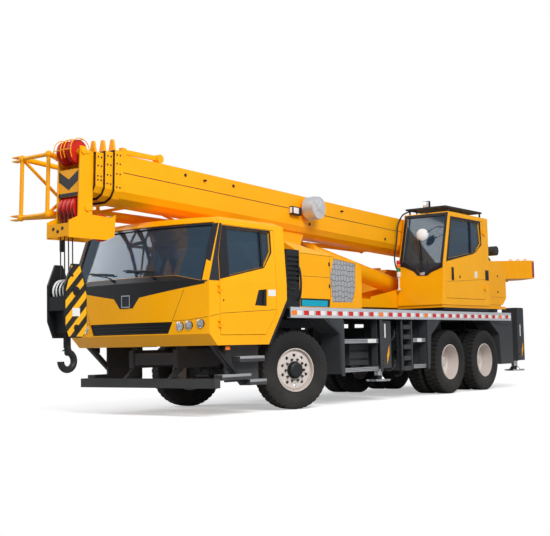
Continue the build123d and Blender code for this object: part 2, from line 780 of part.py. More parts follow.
def hood_solid(inset):
    """Closed hood volume, drawn in by inset."""
    half = hood_half_width - inset
    wedge = hood_chamfer(inset)
    return side_prism(hood_outline(inset), -half, half) - wedge - mirrored(wedge)


def engine_hood():
    """Hollow hood over the engine, open below, with sunk grille panels and long blank plates at its sides."""
    hood = hood_solid(0) - hood_solid(hood_wall)
    for side in (-1, 1):
        x0, x1 = sorted((side * (hood_half_width - hood_panel_depth), side * (hood_half_width + 10)))
        hood = hood - side_prism([(st(y), z) for y, z in HOOD_PANEL], x0, x1)
        hood = hood - side_prism([(st(y), z) for y, z in HOOD_PLATE], x0, x1)
    return hood


def engine_and_driveline():
    """Engine as one block, gearbox, and shafts to the bogie."""
    engine = block(-330, 330, st(20), st(1180), 700, 1900)
    gearbox = side_prism([(st(1180), 700), (st(1180), 1120), (st(1880), 880), (st(1880), 700)], -170, 170)
    nose = st(rear_stations[0] - 330)
    first = rod((0, st(1870), 780), (0, nose - 60, wheel_z), 45) + rod((0, nose - 90, wheel_z),
                                                                       (0, nose, wheel_z), 60)
    y0, y1 = st(rear_stations[0]) + 230 + seat_gap, st(rear_stations[1] - 330)
    second = rod((0, y0, wheel_z), (0, y1, wheel_z), 45)
    carrier = [block(-rail_outer + rail_thickness, -330, st(500), st(640), 880, 1000),
               block(330, rail_outer - rail_thickness, st(500), st(640), 880, 1000)]
    return group([fuse([engine, gearbox, first] + carrier), second])


def boom_rest():
    """Gantry behind the cab with the pad that the boom rests over."""
    y0, y1 = st(-340), st(-120)
    pad_top = boom_belly(st(-230)) - rest_gap
    legs = [block(s * 395 - 45, s * 395 + 45, y0 + 60, y1 - 60, rail_top, 2200) for s in (-1, 1)]
    head = front_prism([(-440, 2130), (440, 2130), (440, 2230), (190, pad_top - 50), (-190, pad_top - 50),
                        (-440, 2230)], y0 + 30, y1 - 30)
    pad = block(-170, 170, y0 + 20, y1 - 20, pad_top - 52, pad_top)
    return fuse(legs + [head, pad])


def intake_column():
    """Black louvred intake columns at the cab's rear corners, with the aprons ahead of the front wheels."""
    parts = []
    for s in (-1, 1):
        x0, x1 = sorted((s * 860, s * 1225))
        column = block(x0, x1, st(-398), st(-90), deck_top, 2205)
        for z in range(1760, 2150, 65):
            a, b = sorted((s * 1205, s * 1235))
            column = column - block(a, b, st(-380), st(-105), z, z + 30)
        apron = side_prism([(st(-424), 1500), (st(-848), 899), (st(-770), 899), (st(-385), 1440),
                            (st(-385), 1500)],
                           x0, x1)
        parts.append(column + apron)
    return group(parts)


def mudguards():
    """Guards behind the front wheels and round the bogie, with the panels that close the rear."""
    parts = []
    for s in (-1, 1):
        x0, x1 = sorted((s * 905, s * 1235))
        front = side_prism([(st(470), hanger_top), (st(560), 1200), (st(860), 1040), (st(885), 450),
                            (st(905), 450), (st(905), 1050), (st(880), hanger_top)], x0, x1)
        wall, end = st(last_axle + wheel_arch), st(deck_rear_station + 70)
        rear = side_prism([(wall - 450, hanger_top), (wall - 330, 1170), (wall - 50, 1010), (wall, 450),
                           (end, 450), (end, hanger_top)], x0, x1)
        wall = st(wheelbase - wheel_arch)
        fore = side_prism([(wall - 240, hanger_top), (wall - 240, 470), (wall - 160, 470), (wall - 100, 1010),
                           (wall + 140, 1170), (wall + 260, hanger_top)], x0, x1)
        parts += [front, rear, fore]
    return group(parts)


def side_steps():
    """Step treads and ladders below the deck and the cab doors, on hangers."""
    parts = []
    # first station, last station, heights of the treads, top that they hang from
    rows = ((990, 1975, (500, 925), hanger_top), (3035, 3480, (500, 925), hanger_top),
            (2760, 2990, (476, 640, 820, 980, 1138), hanger_top))
    for first, last, heights, top in rows:
        for s in (-1, 1):
            x0, x1 = sorted((s * step_inner, s * step_outer))
            pieces = []
            for z in heights:
                pieces.append(block(x0, x1, st(first), st(last), z - step_half_height, z + step_half_height))
            for y in (st(first) - 12, st(last)):
                a, b = sorted((s * 1090, s * 1190))
                pieces.append(block(a, b, y, y + 12, min(heights) - step_half_height, top))
            parts.append(fuse(pieces))
    steps = cab_steps()
    return group(parts + [steps, mirrored(steps)])


def cab_steps():
    """Left boarding steps: three treads on a slanting stringer and an apron below the cab."""
    x0, x1 = step_inner, step_outer
    pieces = [block(x0, x1, st(first), st(last), z - step_half_height, z + step_half_height)
              for first, last, z in CAB_STEPS]
    apron = block(x0 - 30, x0 + 2, st(-1560), st(-880), 430, cab_bottom)
    stringer = side_prism([(st(-1880), cab_bottom), (st(-1790), cab_bottom), (st(-1185), 380), (st(-1275),
                                                                                                380)],
                          x0, x0 + 45)
    return fuse([apron, stringer] + pieces)


def side_tanks():
    """Fuel tank on the right, battery box and air bottles on the left, hung from the rails."""
    fuel = front_prism([(-1070, 560), (-1010, 500), (-620, 500), (-560, 560), (-560, 1060), (-620, 1120),
                        (-1010, 1120), (-1070, 1060)], st(1000), st(1960))
    straps = [block(-580, -rail_outer, st(a), st(a + 60), 860, 1000) for a in (1120, 1730)]
    battery = block(560, 1040, st(1420), st(1960), 560, 900)
    carrier = [block(rail_outer, 580, st(a), st(a + 50), 850, 895) for a in (1480, 1850)]
    bottles = []
    for x, z in ((700, 1050), (700, 560)):
        bottles.append(rod((x, st(3060), z), (x, st(3440), z), 130))
    bar = block(rail_outer, 720, st(3220), st(3280), 860, 1100) + block(680, 720, st(3220), st(3280), 600,
                                                                        900)
    return group([fuse([fuel] + straps), fuse([battery] + carrier), fuse(bottles + [bar])])


def tail_lamps():
    """Lamp brackets with their lamps behind the rear outriggers."""
    parts = []
    for s in (-1, 1):
        x0, x1 = sorted((s * 700, s * 1130))
        y = st(frame_rear_station)
        plate = block(x0, x1, y + 60, y + 72, 690, 900)
        lamp = block(min(s * 760, s * 1120), max(s * 760, s * 1120), y + 72, y + 130, 720, 870)
        a, b = sorted((s * (rail_outer - rail_thickness), s * 720))
        arm = block(a, b, y, y + 72, 850, 900)
        parts.append(fuse([plate, lamp, arm]))
    return group(parts)


# ---------------------------------------------------------------- outriggers
def outrigger_beam(side, station, height, top):
    """Sliding beam with the jack's square housing at its outer end."""
    y = st(station)
    half_y, half_z = beam_depth / 2, beam_height / 2
    tube = block(-housing_half_length + 30, jack_inner + 5, y - half_y, y + half_y, height - half_z,
                 height + half_z)
    hollow = block(-housing_half_length + 20, jack_inner - 30, y - half_y + beam_wall, y + half_y - beam_wall,
                   height - half_z + beam_wall, height + half_z - beam_wall)
    jack = block(jack_inner, jack_outer, y - jack_box_size / 2, y + jack_box_size / 2, 500, top)
    middle = (jack_inner + jack_outer) / 2
    bore = Pos(middle, y, 480) * Cylinder(jack_bore, top - 480 - 60, align=UPRIGHT)
    return left_or_right(fuse([tube - hollow, jack]) - bore, side)


def jack(side, station, top):
    """Jack rod with its round foot."""
    y = st(station)
    middle = (jack_inner + jack_outer) / 2
    shaft = rod((middle, y, foot_bottom + foot_thickness), (middle, y, top - 120), jack_rod_radius)
    collar = Pos(middle, y, foot_bottom + foot_thickness + 30) * Cone(110, jack_rod_radius, 60)
    foot = Pos(middle, y, foot_bottom + foot_thickness / 2) * Cylinder(foot_radius, foot_thickness)
    return left_or_right(fuse([shaft, collar, foot]), side)


# ---------------------------------------------------------------- superstructure
def turntable_frame():
    """Slew ring, base box, cheek plates, tail plate and pins that carry the boom and its cylinder."""
    cy = st(slew_station)
    ring = Pos(0, cy, (slew_ring_seat + slew_ring_top) / 2 + 0.15) * Cylinder(
        slew_ring_radius, slew_ring_top - slew_ring_seat - 0.3)
    base = block(-base_half_width, base_half_width, st(3060), st(6900), slew_ring_top - 1, 1640)
    outline = [(st(3300), 1600), (st(3300), 1680), (st(4650), 1900), (st(4850), 2080), (st(5250), 2080),
               (st(6350), 2650), (st(6480), pivot_height + 150), (st(6880), pivot_height + 170),
               (st(7060), pivot_height + 40), (st(7250), 2500), (st(7650), 2400), (st(7950), 2119.7),
               (st(7100), 2030), (st(6900), 1600)]
    inner = cheek_outer - cheek_thickness
    cheeks = [side_prism(outline, inner, cheek_outer), side_prism(outline, -cheek_outer, -inner)]
    tail = block(-560, 560, st(7430), st(8260), ballast_bottom - 28, ballast_bottom)
    tail = tail + block(-inner - 1, inner + 1, st(7150), st(7500), ballast_bottom - 50, ballast_bottom)
    bulkhead = block(-inner - 1, inner + 1, st(6560), st(6600), 1630, 2350)
    wings = [block(s * 750 - 440, s * 750 + 440, st(4160), st(6700), slew_ring_top - 20,
                   1529.7) for s in (-1, 1)]
    ears = [block(s * 215 - 20, s * 215 + 20, st(lift_foot_station - 150), st(lift_foot_station + 190), 1630,
                  lift_foot_height + 90) for s in (-1, 1)]
    whole = fuse([ring, base, tail, bulkhead] + cheeks + wings + ears)
    pivot = rod((-cheek_outer - 25, st(pivot_station), pivot_height), (cheek_outer + 25, st(pivot_station),
                                                                        pivot_height), pivot_pin_radius)
    foot = rod((-cheek_outer, st(lift_foot_station), lift_foot_height), (cheek_outer, st(lift_foot_station),
                                                                          lift_foot_height), lift_pin_radius)
    return fuse([whole, pivot, foot])


def op_cab_outline(inset):
    """Side of the operator's cab as (y, z) corners, drawn in by inset."""
    y0, y1, y2 = st(op_cab_front_station), st(op_cab_screen_station), st(op_cab_rear_station)
    return [(y0 + inset, op_cab_bottom + inset), (y2 - inset, op_cab_bottom + inset),
            (y2 - inset, op_cab_roof - 12 - inset), (y1 + inset * 1.1, op_cab_roof - inset),
            (y0 + 65 + inset, op_cab_belt)]


def op_cab_window():
    """Side window as (y, z) corners."""
    return [(st(4390), 2330), (st(5482), 2510), (st(5683), 2670), (st(5620), 3040), (st(4545), 3040)]


def op_door_outline(gap):
    """Operator's door edge as (y, z) corners, drawn in by gap."""
    return [(st(4300) + gap, 1640 + gap), (st(5800) - gap, 1640 + gap), (st(5800) - gap, 3085 - gap),
            (st(4510) + gap, 3085 - gap), (st(4300) + gap, 2270)]


def op_screen_cut(gap):
    """Opening of the operator's windscreen with its pointed foot, as a prism along the machine."""
    x0, x1 = op_cab_inner + 70 + gap, op_cab_outer - 50 - gap
    foot = [(x, z + 2 * gap) for x, z in OP_SCREEN_FOOT]
    outline = [(x0, 3100 - gap), (x0, foot[0][1] + 8)] + foot + [(x1, foot[-1][1] + 4), (x1, 3100 - gap)]
    return front_prism(outline, st(op_cab_front_station) - 50, st(op_cab_screen_station) + 100)


def op_cab_solid(inset):
    """Operator's cab volume, drawn in by inset."""
    return side_prism(op_cab_outline(inset), op_cab_inner + inset, op_cab_outer - inset)


def operator_cab():
    """Hollow operator's cab with door way, windscreen, roof light and rear window cut."""
    shell = op_cab_solid(0) - op_cab_solid(op_cab_wall)
    shell = shell - side_prism(op_door_outline(0), op_cab_outer - op_cab_wall - 5, op_cab_outer + 10)
    shell = shell - op_screen_cut(0)
    y = st(op_cab_rear_station)
    shell = shell - block(op_cab_inner + 120, op_cab_outer - 120, y - 60, y + 10, 2450, 3030)
    inner_window = side_prism([(st(4600), 2400), (st(5700), 2400), (st(5700), 3030), (st(4660), 3030)],
                              op_cab_inner - 10, op_cab_inner + op_cab_wall + 5)
    brackets = hinge_brackets(op_cab_outer, st(5800) + 6, op_door_hinge_heights, -50)
    return fuse([shell - inner_window] + brackets)


def op_cab_glass():
    """Windscreen, rear window and the window on the boom's side."""
    screen = (op_cab_solid(10) - op_cab_solid(10 + glass_thickness)) & op_screen_cut(0.3)
    y = st(op_cab_rear_station)
    back = block(op_cab_inner + 120.3, op_cab_outer - 120.3, y - 24 - glass_thickness, y - 24, 2450.3, 3029.7)
    side = side_prism([(st(4600.3), 2400.3), (st(5699.7), 2400.3), (st(5699.7), 3029.7), (st(4660.3),
                                                                                          3029.7)],
                      op_cab_inner + 14, op_cab_inner + 14 + glass_thickness)
    return group([screen, back, side])


def operator_door():
    """Door in the cab's outer side, with its window cut and its handle."""
    door = side_prism(op_door_outline(door_gap), op_cab_outer - op_cab_wall, op_cab_outer)
    door = door - side_prism(op_cab_window(), op_cab_outer - op_cab_wall - 5, op_cab_outer + 5)
    handle = block(op_cab_outer - 1, op_cab_outer + 12, st(4500), st(4560), 2000, 2180)
    return fuse([door, handle] + hinge_knuckles(op_cab_outer, st(5800) + 6, op_door_hinge_heights, -60))


def op_cab_interior():
    """Operator's seat with its arm consoles."""
    floor = op_cab_bottom + op_cab_wall
    x = (op_cab_inner + op_cab_outer) / 2
    base = block(x - 160, x + 160, st(5060), st(5500), floor, floor + 330)
    cushion = block(x - 230, x + 230, st(4960), st(5520), floor + 330, floor + 440)
    back = side_prism([(st(5470), floor + 430), (st(5590), floor + 430), (st(5720), floor + 1130),
                       (st(5630), floor + 1130)], x - 220, x + 220)
    consoles = [block(x + s * 290 - 55, x + s * 290 + 55, st(4950), st(5400), floor,
                      floor + 620) for s in (-1, 1)]
    levers = [rod((x + s * 290, st(5020), floor + 610), (x + s * 290, st(4985), floor + 760),
                  16) for s in (-1, 1)]
    seat = fuse([base, cushion, back])
    return group([seat] + [console + lever for console, lever in zip(consoles, levers)])


def sun_guard():
    """Slatted guard raised over the operator's roof on four posts."""
    x0, x1 = op_cab_inner + 60, op_cab_outer - 25
    y0, y1 = st(4400), st(5830)
    z = op_cab_roof + 70
    frame = block(x0, x1, y0, y1, z, z + 30) - block(x0 + 45, x1 - 45, y0 + 45, y1 - 45, z - 5, z + 35)
    slats = [block(x0 + 40, x1 - 40, y0 + 80 + 95 * i, y0 + 140 + 95 * i, z + 8, z + 22) for i in range(14)]
    posts = []
    for x in (x0 + 20, x1 - 20):
        for y in (y0 + 120, y1 - 60):
            posts.append(block(x - 12, x + 12, y - 12, y + 12, op_cab_roof + 0, z + 5))
    return fuse([frame] + slats + posts)


def machinery_boxes():
    """Cabinet behind the operator's cab and the hydraulic tank on the other side."""
    left = side_prism([(st(6000.3), 1560), (st(6000.3), 2380), (st(6560), 2360), (st(6720), 2200),
                       (st(6720), 1690), (st(6560), 1560)], base_half_width + 15, 1200)
    left = left + block(base_half_width + 15, 1190, st(6000.3), st(6500), 1529.7, 1570)
    tank = side_prism([(st(4700), 1529.7), (st(4700), 2100), (st(4900), 2250), (st(6500), 2250),
                       (st(6650), 2100), (st(6650), 1529.7)], -1150, -base_half_width - 15)
    filler = Pos(-750, st(5200), 2280) * Cylinder(90, 62)
    return group([left, tank + filler])


def counterweight():
    """Ballast block at the tail, narrower at both ends, with lifting eyes."""
    front, wide, rear = st(7420), st(7985), st(ballast_rear_station)
    plan = [(-560, front), (560, front), (1200, wide), (1200, wide + 110), (760, rear), (-760, rear),
            (-1200, wide + 110), (-1200, wide)]
    body = plan_prism(plan, ballast_bottom, ballast_top)
    well = block(-330, 330, st(7200), st(8250), ballast_bottom - 10, ballast_top + 10)
    eyes = []
    for s in (-1, 1):
        for x, y in ((820, st(7830)), (930, st(7930)), (1040, st(8030))):
            eyes.append(Pos(s * x, y, ballast_top) * Rot(X=90) * Rot(Y=45 * s) * Torus(34, 9))
    return fuse([body - well] + eyes)


def winches():
    """Main and auxiliary winch: flanged drums in their brackets, motors outside."""
    parts = []
    # y and z of the drum, how far its motor reaches to the left
    for y, z, reach in ((st(7660), 2700, 600), (st(8020), 2420, 275)):
        drum = rod((-200, y, z), (200, y, z), 130)
        flanges = [rod((s * 200, y, z), (s * 218, y, z), 215) for s in (-1, 1)]
        motor = rod((210, y, z), (reach, y, z), 95)
        bearing = rod((-275, y, z), (-210, y, z), 90)
        brackets = [block(s * 246 - 12, s * 246 + 12, y - 110, y + 110, ballast_bottom,
                          z + 60) for s in (-1, 1)]
        parts.append(fuse([drum, motor, bearing] + flanges + brackets))
    return group(parts)


# ---------------------------------------------------------------- boom
def boom_pose(part):
    """From the boom's own frame to its parked place."""
    return Pos(0, st(pivot_station), pivot_height) * Rot(X=-boom_rise) * part


def boom_point(y, z):
    """Parked (y, z) of a point in the boom's own frame."""
    a = radians(boom_rise)
    return st(pivot_station) + y * cos(a) + z * sin(a), pivot_height - y * sin(a) + z * cos(a)


def boom_belly(y):
    """Height of the base section's underside above a place y on the centre line."""
    a = radians(boom_rise)
    return pivot_height + (boom_top - boom_height) / cos(a) - (y - st(pivot_station)) * tan(a)


def section_outline(level, grow):
    """Profile of section number level, with grow added on every side, as (x, z) corners."""
    half = boom_width / 2 - level * section_step + grow
    top = boom_top - level * section_step + grow
    tall = boom_height - 2 * level * section_step + 2 * grow
    right = [(half, top), (half, top - tall * 0.78), (half * 0.82, top - tall * 0.92), (half * 0.48,
                                                                                        top - tall)]
    return right + [(-x, z) for x, z in reversed(right)]


def section_tube(level, y0, y1):
    """Hollow section from y0 back to y1 in the boom's frame."""
    outer = front_prism(section_outline(level, 0), y0, y1)
    inner = front_prism(section_outline(level, -boom_wall), y0 - 10, y1 + 10)
    return outer - inner


def slide_pads(level, y0, y1):
    """Wear pads inside a section's mouth that the next section runs on."""
    ceiling = boom_top - level * section_step - boom_wall
    floor = boom_top - boom_height + level * section_step + boom_wall
    thick = section_step - boom_wall - seat_gap
    half = (boom_width / 2 - (level + 1) * section_step) * 0.44
    return [block(-half, half, y0, y1, ceiling - thick, ceiling + 1), block(-half, half, y0, y1,
                                                                            floor - 1, floor + thick)]


def collar(level, y0, y1):
    """Stiff frame at the mouth of a section, with the hose guide fin on its top."""
    outer = front_prism(section_outline(level, collar_proud), y0, y1)
    inner = front_prism(section_outline(level, -boom_wall), y0 - 10, y1 + 10)
    fin_x = boom_width / 2 - level * section_step - 70
    top = boom_top - level * section_step + collar_proud
    fin = front_prism([(fin_x - 55, top - 1), (fin_x + 55, top - 1), (fin_x + 22, top + 150), (fin_x - 22,
                                                                                               top + 150)],
                      y0 + 30, y0 + 60)
    return fuse([outer - inner, fin] + slide_pads(level, y0 + 10, y1 - 10))


def collar_face(level):
    """Y of the front face of a section's collar, all sections drawn in."""
    return -boom_reach - level * (collar_length + collar_gap)


def boom_base():
    """Base section: tube, collar, pivot bosses, lift cylinder bracket and tail frame."""
    tube = section_tube(0, collar_face(0) + 5, boom_tail)
    front = collar(0, collar_face(0), collar_face(0) + collar_length)
    half = boom_width / 2
    wrap = front_prism(section_outline(0, 8), -520, boom_tail) - front_prism(section_outline(0, -boom_wall),
                                                                           -530, boom_tail + 10)
    bosses = rod((-half - 12, 0, 0), (half + 12, 0, 0), pivot_pin_radius + 60)
    ears = []
    for s in (-1, 1):
        x0, x1 = sorted((s * 150, s * 185))
        y, z = -lift_eye_reach, -lift_eye_drop
        ears.append(side_prism([(y - 900, boom_top - boom_height + 70), (y - 160, z - 120),
                                (y + 120, z - 150), (y + 300, boom_top - boom_height + 70)], x0, x1))
    mouth = front_prism(section_outline(0, -boom_wall), collar_face(0) + collar_length, boom_tail + 20)
    whole = fuse([tube, front, wrap, bosses] + ears) - mouth
    bore = Rot(Y=90) * Cylinder(pivot_pin_radius + running_gap, boom_width + 100)
    pipe = fuse([rod((s * half, 0, 0), (s * (half - 40), 0, 0), pivot_pin_radius + 60) for s in (-1, 1)])
    return boom_pose(fuse([whole, pipe]) - bore)


def boom_section(level):
    """A telescoping section with its collar."""
    tail = -section_rear_step * level - 260
    tube = section_tube(level, collar_face(level) + 5, tail)
    front = collar(level, collar_face(level), collar_face(level) + collar_length)
    return boom_pose(tube + front)


def boom_head():
    """Last section with the head: cheek plates, sheave pins, front plate and lower bracket."""
    level = 3
    rear = collar_face(level - 1) - collar_gap
    front = rear - head_length
    tail = -section_rear_step * level - 260
    tube = section_tube(level, rear - 5, tail)
    low = -560
    plates = []
    for s in (-1, 1):
        x0, x1 = sorted((s * (head_half_width - head_plate), s * head_half_width))
        crown = top_sheave_height + 62
        plates.append(side_prism([(rear, 285), (front + 115, 292), (front + 90, crown), (front - 8, crown),
                                  (front - 20, low), (rear, low)], x0, x1))
        # side plates of the lower bracket
        plates.append(side_prism([(front - 165, -610), (front - 165, -815), (rear + 250, -790),
                                  (rear + 385, -730),
                                  (rear + 400, -455), (rear + 330, -500), (rear + 30, -500), (front - 30,
                                                                                              -545)],
                                 x0, x1))
    inner = head_half_width - head_plate
    back = block(-inner - 1, inner + 1, rear - 20, rear, -250, 190)
    nose = block(-inner - 1, inner + 1, front, front + 14, -285, 55)
    lip = block(-head_half_width, head_half_width, front - 165, front - 150, -800, -640)
    crown_pin = (front + top_sheave_setback, top_sheave_height)
    pins = [rod((-inner, *crown_pin), (inner, *crown_pin), 40),
            rod((-inner, hoist_axis()[0], hoist_axis()[1]), (inner, hoist_axis()[0], hoist_axis()[1]), 40),
            rod((122, rear + 190, -640), (inner, rear + 190, -640), 30)]
    return boom_pose(fuse([tube, back, nose, lip] + plates + pins))


def hoist_axis():
    """(y, z) of the lower hoist sheaves in the boom's frame."""
    return collar_face(2) - collar_gap - head_length + 120, -sheave_axis_drop


def sheave(x, y, z, half, r):
    """Grooved sheave with a bore for its pin."""
    disc = ring_x([(-half, 41), (-half, r), (-half + 6, r), (-6, r - 22), (6, r - 22), (half - 6, r),
                   (half, r),
                   (half, 41)])
    return Pos(x, y, z) * disc


def head_sheaves():
    """Two top sheaves, four hoist sheaves and the guide sheave in the lower bracket."""
    front = collar_face(2) - collar_gap - head_length
    wheels = [sheave(x, front + top_sheave_setback, top_sheave_height, 30,
                     top_sheave_radius) for x in (-90, 90)]
    y, z = hoist_axis()
    wheels += [sheave(x, y, z, 26, sheave_radius) for x in rope_offsets]
    guide = Pos(150, front + head_length + 190, -640) * ring_x([(-22, 31), (-22, sheave_radius),
                                                                (22, sheave_radius),
                                                              (22, 31)])
    return boom_pose(group(wheels + [guide]))


def boom_fittings():
    """Hose reel, work lamps and the small roller arm that ride on the base section."""
    half = boom_width / 2
    arm = block(half, half + 60, reel_y - 60, reel_y + 60, reel_z - 60, reel_z + 60)
    reel = rod((half + 60, reel_y, reel_z), (half + 260, reel_y, reel_z), reel_radius)
    for i in range(5):
        ring = Cylinder(reel_radius + 10, 14) - Cylinder(reel_radius - 18, 16)
        reel = reel - Pos(half + 90 + 36 * i, reel_y, reel_z) * Rot(Y=90) * ring
    lamp = block(half, half + 70, lamp_y - 115, lamp_y + 115, lamp_z - 60, lamp_z + 60)
    top = boom_top + 0.3
    tip = rod((120, -8560, top + 75), (215, -8560, top + 75), 60)
    lever = side_prism([(-9230, top + 30), (-9230, top + 95), (-8560, top + 110), (-8560, top + 50)], 150,
                       190)
    foot = block(140, 200, -9260, -9180, top, top + 110)
    roller_arm = fuse([lever, tip, foot])
    return boom_pose(group([arm + reel, lamp, roller_arm]))


def jib():
    """Folded lattice extension stowed along the boom's right side, foot forward."""
    # y, then x and z of the inner and outer, upper and lower chords at that place
    foot, neck, tip = -10000, -9150, -2300
    inner_x, outer_foot, outer_neck, outer_tip = -345, -845, -760, -600
    # y, inner x, outer x, upper z, lower z
    frames = ((foot, inner_x, outer_foot, 285, -475), (neck, inner_x, outer_neck, 240, -345),
              (neck + 2280, inner_x, outer_neck + 50, 225, -290), (neck + 4560, inner_x, outer_neck + 100,
                                                                   210, -240),
              (tip, inner_x, outer_tip, 190, -190))
    tubes = []
    for (ya, ia, oa, ua, la), (yb, ib, ob, ub, lb) in zip(frames[:-1], frames[1:]):
        corners_a = ((ia, ya, ua), (oa, ya, ua), (oa, ya, la), (ia, ya, la))
        corners_b = ((ib, yb, ub), (ob, yb, ub), (ob, yb, lb), (ib, yb, lb))
        tubes += [rod(a, b, 34) for a, b in zip(corners_a, corners_b)]
        for k in range(4):
            tubes.append(rod(corners_a[k], corners_b[(k + 1) % 4], 21))
    for y, xi, xo, up, low in frames:
        ring = ((xi, y, up), (xo, y, up), (xo, y, low), (xi, y, low))
        tubes += [rod(ring[k], ring[(k + 1) % 4], 26) for k in range(4)]
        tubes += [Pos(*corner) * Sphere(47) for corner in ring]
    lugs = []
    for x, y, z in ((outer_foot, foot, 285), (outer_foot, foot, -475)):
        lugs += [block(x - 150, x - 6, y - 45, y + 45, z + a, z + a + 15) for a in (-32, 17)]
    posts = []
    for y, low, up in ((neck + 2370, -288, 225), (neck + 4650, -238, 210)):
        posts.append(rod((inner_x, y, low), (inner_x, y, up), 24))
        posts.append(rod((inner_x, y, 70), (-boom_width / 2, y, 70), 22))
    return boom_pose(fuse(tubes + lugs + posts))


# ---------------------------------------------------------------- lift cylinder
lift_foot = (st(lift_foot_station), lift_foot_height)
lift_eye = boom_point(-lift_eye_reach, -lift_eye_drop)
lift_length = hypot(lift_eye[0] - lift_foot[0], lift_eye[1] - lift_foot[1])
lift_angle = degrees(atan2(lift_eye[1] - lift_foot[1], lift_foot[0] - lift_eye[0]))


def lift_pose(part):
    """From the cylinder's frame, foot at the origin and pointing along -Y, to its parked place."""
    return Pos(0, lift_foot[0], lift_foot[1]) * Rot(X=-lift_angle) * part


def lift_barrel():
    """Cylinder barrel with its lower eye."""
    mouth = -(lift_length - barrel_head_setback)
    body = rod((0, -100, 0), (0, mouth, 0), barrel_radius)
    gland = rod((0, mouth + 110, 0), (0, mouth, 0), barrel_radius + 12)
    eye = Rot(Y=90) * Cylinder(115, 180)
    bore = rod((0, -260, 0), (0, mouth + 110, 0), barrel_bore)
    bore = bore + rod((0, mouth + 120, 0), (0, mouth - 5, 0), lift_rod_radius + seat_gap)
    pin_hole = Rot(Y=90) * Cylinder(lift_pin_radius + running_gap, 400)
    return lift_pose(fuse([body, gland, eye]) - bore - pin_hole)


def lift_rod():
    """Piston rod with its piston and its upper eye, which stands open between the boom's ears."""
    shaft = rod((0, -330, 0), (0, -lift_length + 60, 0), lift_rod_radius)
    piston = rod((0, -320, 0), (0, -420, 0), barrel_bore - seat_gap)
    eye = Pos(0, -lift_length, 0) * Rot(Y=90) * (Cylinder(115, 240) - Cylinder(lift_pin_radius, 260))
    return lift_pose(fuse([shaft - Pos(0, -lift_length, 0) * Rot(Y=90) * Cylinder(60, 300), piston, eye]))


# ---------------------------------------------------------------- hook block
hoist_y, hoist_z = boom_point(*hoist_axis())
fall_y = hoist_y - (sheave_radius - 22 + rope_radius + seat_gap)


def hoist_ropes():
    """Four falls of the hoist rope from the head's sheaves to the block."""
    low = block_top - block_sheave_drop + block_sheave_radius + seat_gap
    return group([rod((x, fall_y, low), (x, fall_y, hoist_z), rope_radius) for x in rope_offsets])


def hook_block():
    """Cheek plates, sheaves between them, crosshead and hook."""
    y, half, depth = fall_y, block_half_width, block_depth / 2
    top, low = block_top, block_bottom
    outline = [(y - 60, top), (y + 60, top), (y + depth, top - 260), (y + depth, low + 200), (y + 90, low),
               (y - 90, low), (y - depth, low + 200), (y - depth, top - 260)]
    cheeks = [side_prism(outline, s * half - 12, s * half + 12) for s in (-1, 1)]
    guard = block(-half, half, y - depth + 6, y + depth - 6, low + 330, low + 500)
    web = block(-half, half, y - 70, y + 70, low + 60, low + 330)
    axis_z = top - block_sheave_drop
    axle = rod((-half, y, axis_z), (half, y, axis_z), 45)
    pulleys = fuse([rod((x - 22, y, axis_z), (x + 22, y, axis_z), block_sheave_radius) for x in rope_offsets])
    shank = rod((0, y, low - 120), (0, y, low + 80), 45)
    bend = 105
    centre_z = hook_bottom + bend + 42
    hook = Pos(0, y, centre_z) * Rot(Y=90) * (Torus(bend, 42))
    mouth = block(-60, 60, y - 260, y - 10, centre_z - 5, centre_z + 120)
    neck = rod((0, y, low - 100), (0, y + 20, centre_z + bend), 42)
    return fuse(cheeks + [guard, web, axle, pulleys, shank, hook - mouth, neck])


# ---------------------------------------------------------------- nodes
def all_nodes():
    """Name and shape of every node."""
    nodes = {
        "chassis_frame": chassis_frame(), "deck": deck(), "axles_and_springs": axles(),
        "cab_shell": cab_shell(), "cab_glass": cab_glass(), "cab_grille": cab_grille(),
        "cab_interior": cab_interior(), "front_bar": front_bar(), "engine_hood": engine_hood(),
        "engine_and_driveline": engine_and_driveline(), "boom_rest": boom_rest(),
        "intake_columns": intake_column(), "mudguards": mudguards(), "side_steps": side_steps(),
        "side_tanks": side_tanks(), "tail_lamps": tail_lamps(),
        "turntable_frame": turntable_frame(), "operator_cab": operator_cab(),
        "operator_glass": op_cab_glass(),
        "operator_door": operator_door(), "operator_seat": op_cab_interior(), "sun_guard": sun_guard(),
        "machinery_boxes": machinery_boxes(), "counterweight": counterweight(), "winches": winches(),
        "boom_base": boom_base(), "boom_section_2": boom_section(1), "boom_section_3": boom_section(2),
        "boom_head": boom_head(), "head_sheaves": head_sheaves(), "boom_fittings": boom_fittings(),
        "jib": jib(),
        "lift_barrel": lift_barrel(), "lift_rod": lift_rod(),
        "hoist_ropes": hoist_ropes(), "hook_block": hook_block(),
    }
    for name, side in (("left", 1), ("right", -1)):
        nodes[f"cab_door_{name}"] = cab_door(side)
        nodes[f"knuckle_{name}"] = knuckle(side)
        nodes[f"front_tyre_{name}"] = front_wheel_part(tyre(0), side)
        nodes[f"front_rim_{name}"] = front_wheel_part(front_rim(), side)
        for number, station in enumerate(rear_stations, start=2):
            twins = group([tyre(-twin_pitch / 2), tyre(twin_pitch / 2)])
            nodes[f"axle{number}_tyres_{name}"] = rear_wheel_part(twins, side, station)
            nodes[f"axle{number}_rims_{name}"] = rear_wheel_part(rear_rim(), side, station)
        for place, left, right, height, top in OUTRIGGERS:
            station = left if side > 0 else right
            nodes[f"outrigger_{place}_{name}"] = outrigger_beam(side, station, height, top)
            nodes[f"jack_{place}_{name}"] = jack(side, station, top)
    return nodes


def main():
    """Write one STEP file for every node."""
    os.makedirs("parts", exist_ok=True)
    for name, shape in all_nodes().items():
        export_step(shape, f"parts/{name}.step")


if __name__ == "__main__":
    main()
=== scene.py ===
import logging
import math
from dataclasses import dataclass, field
from enum import Enum

import bpy
from mathutils import Matrix, Vector


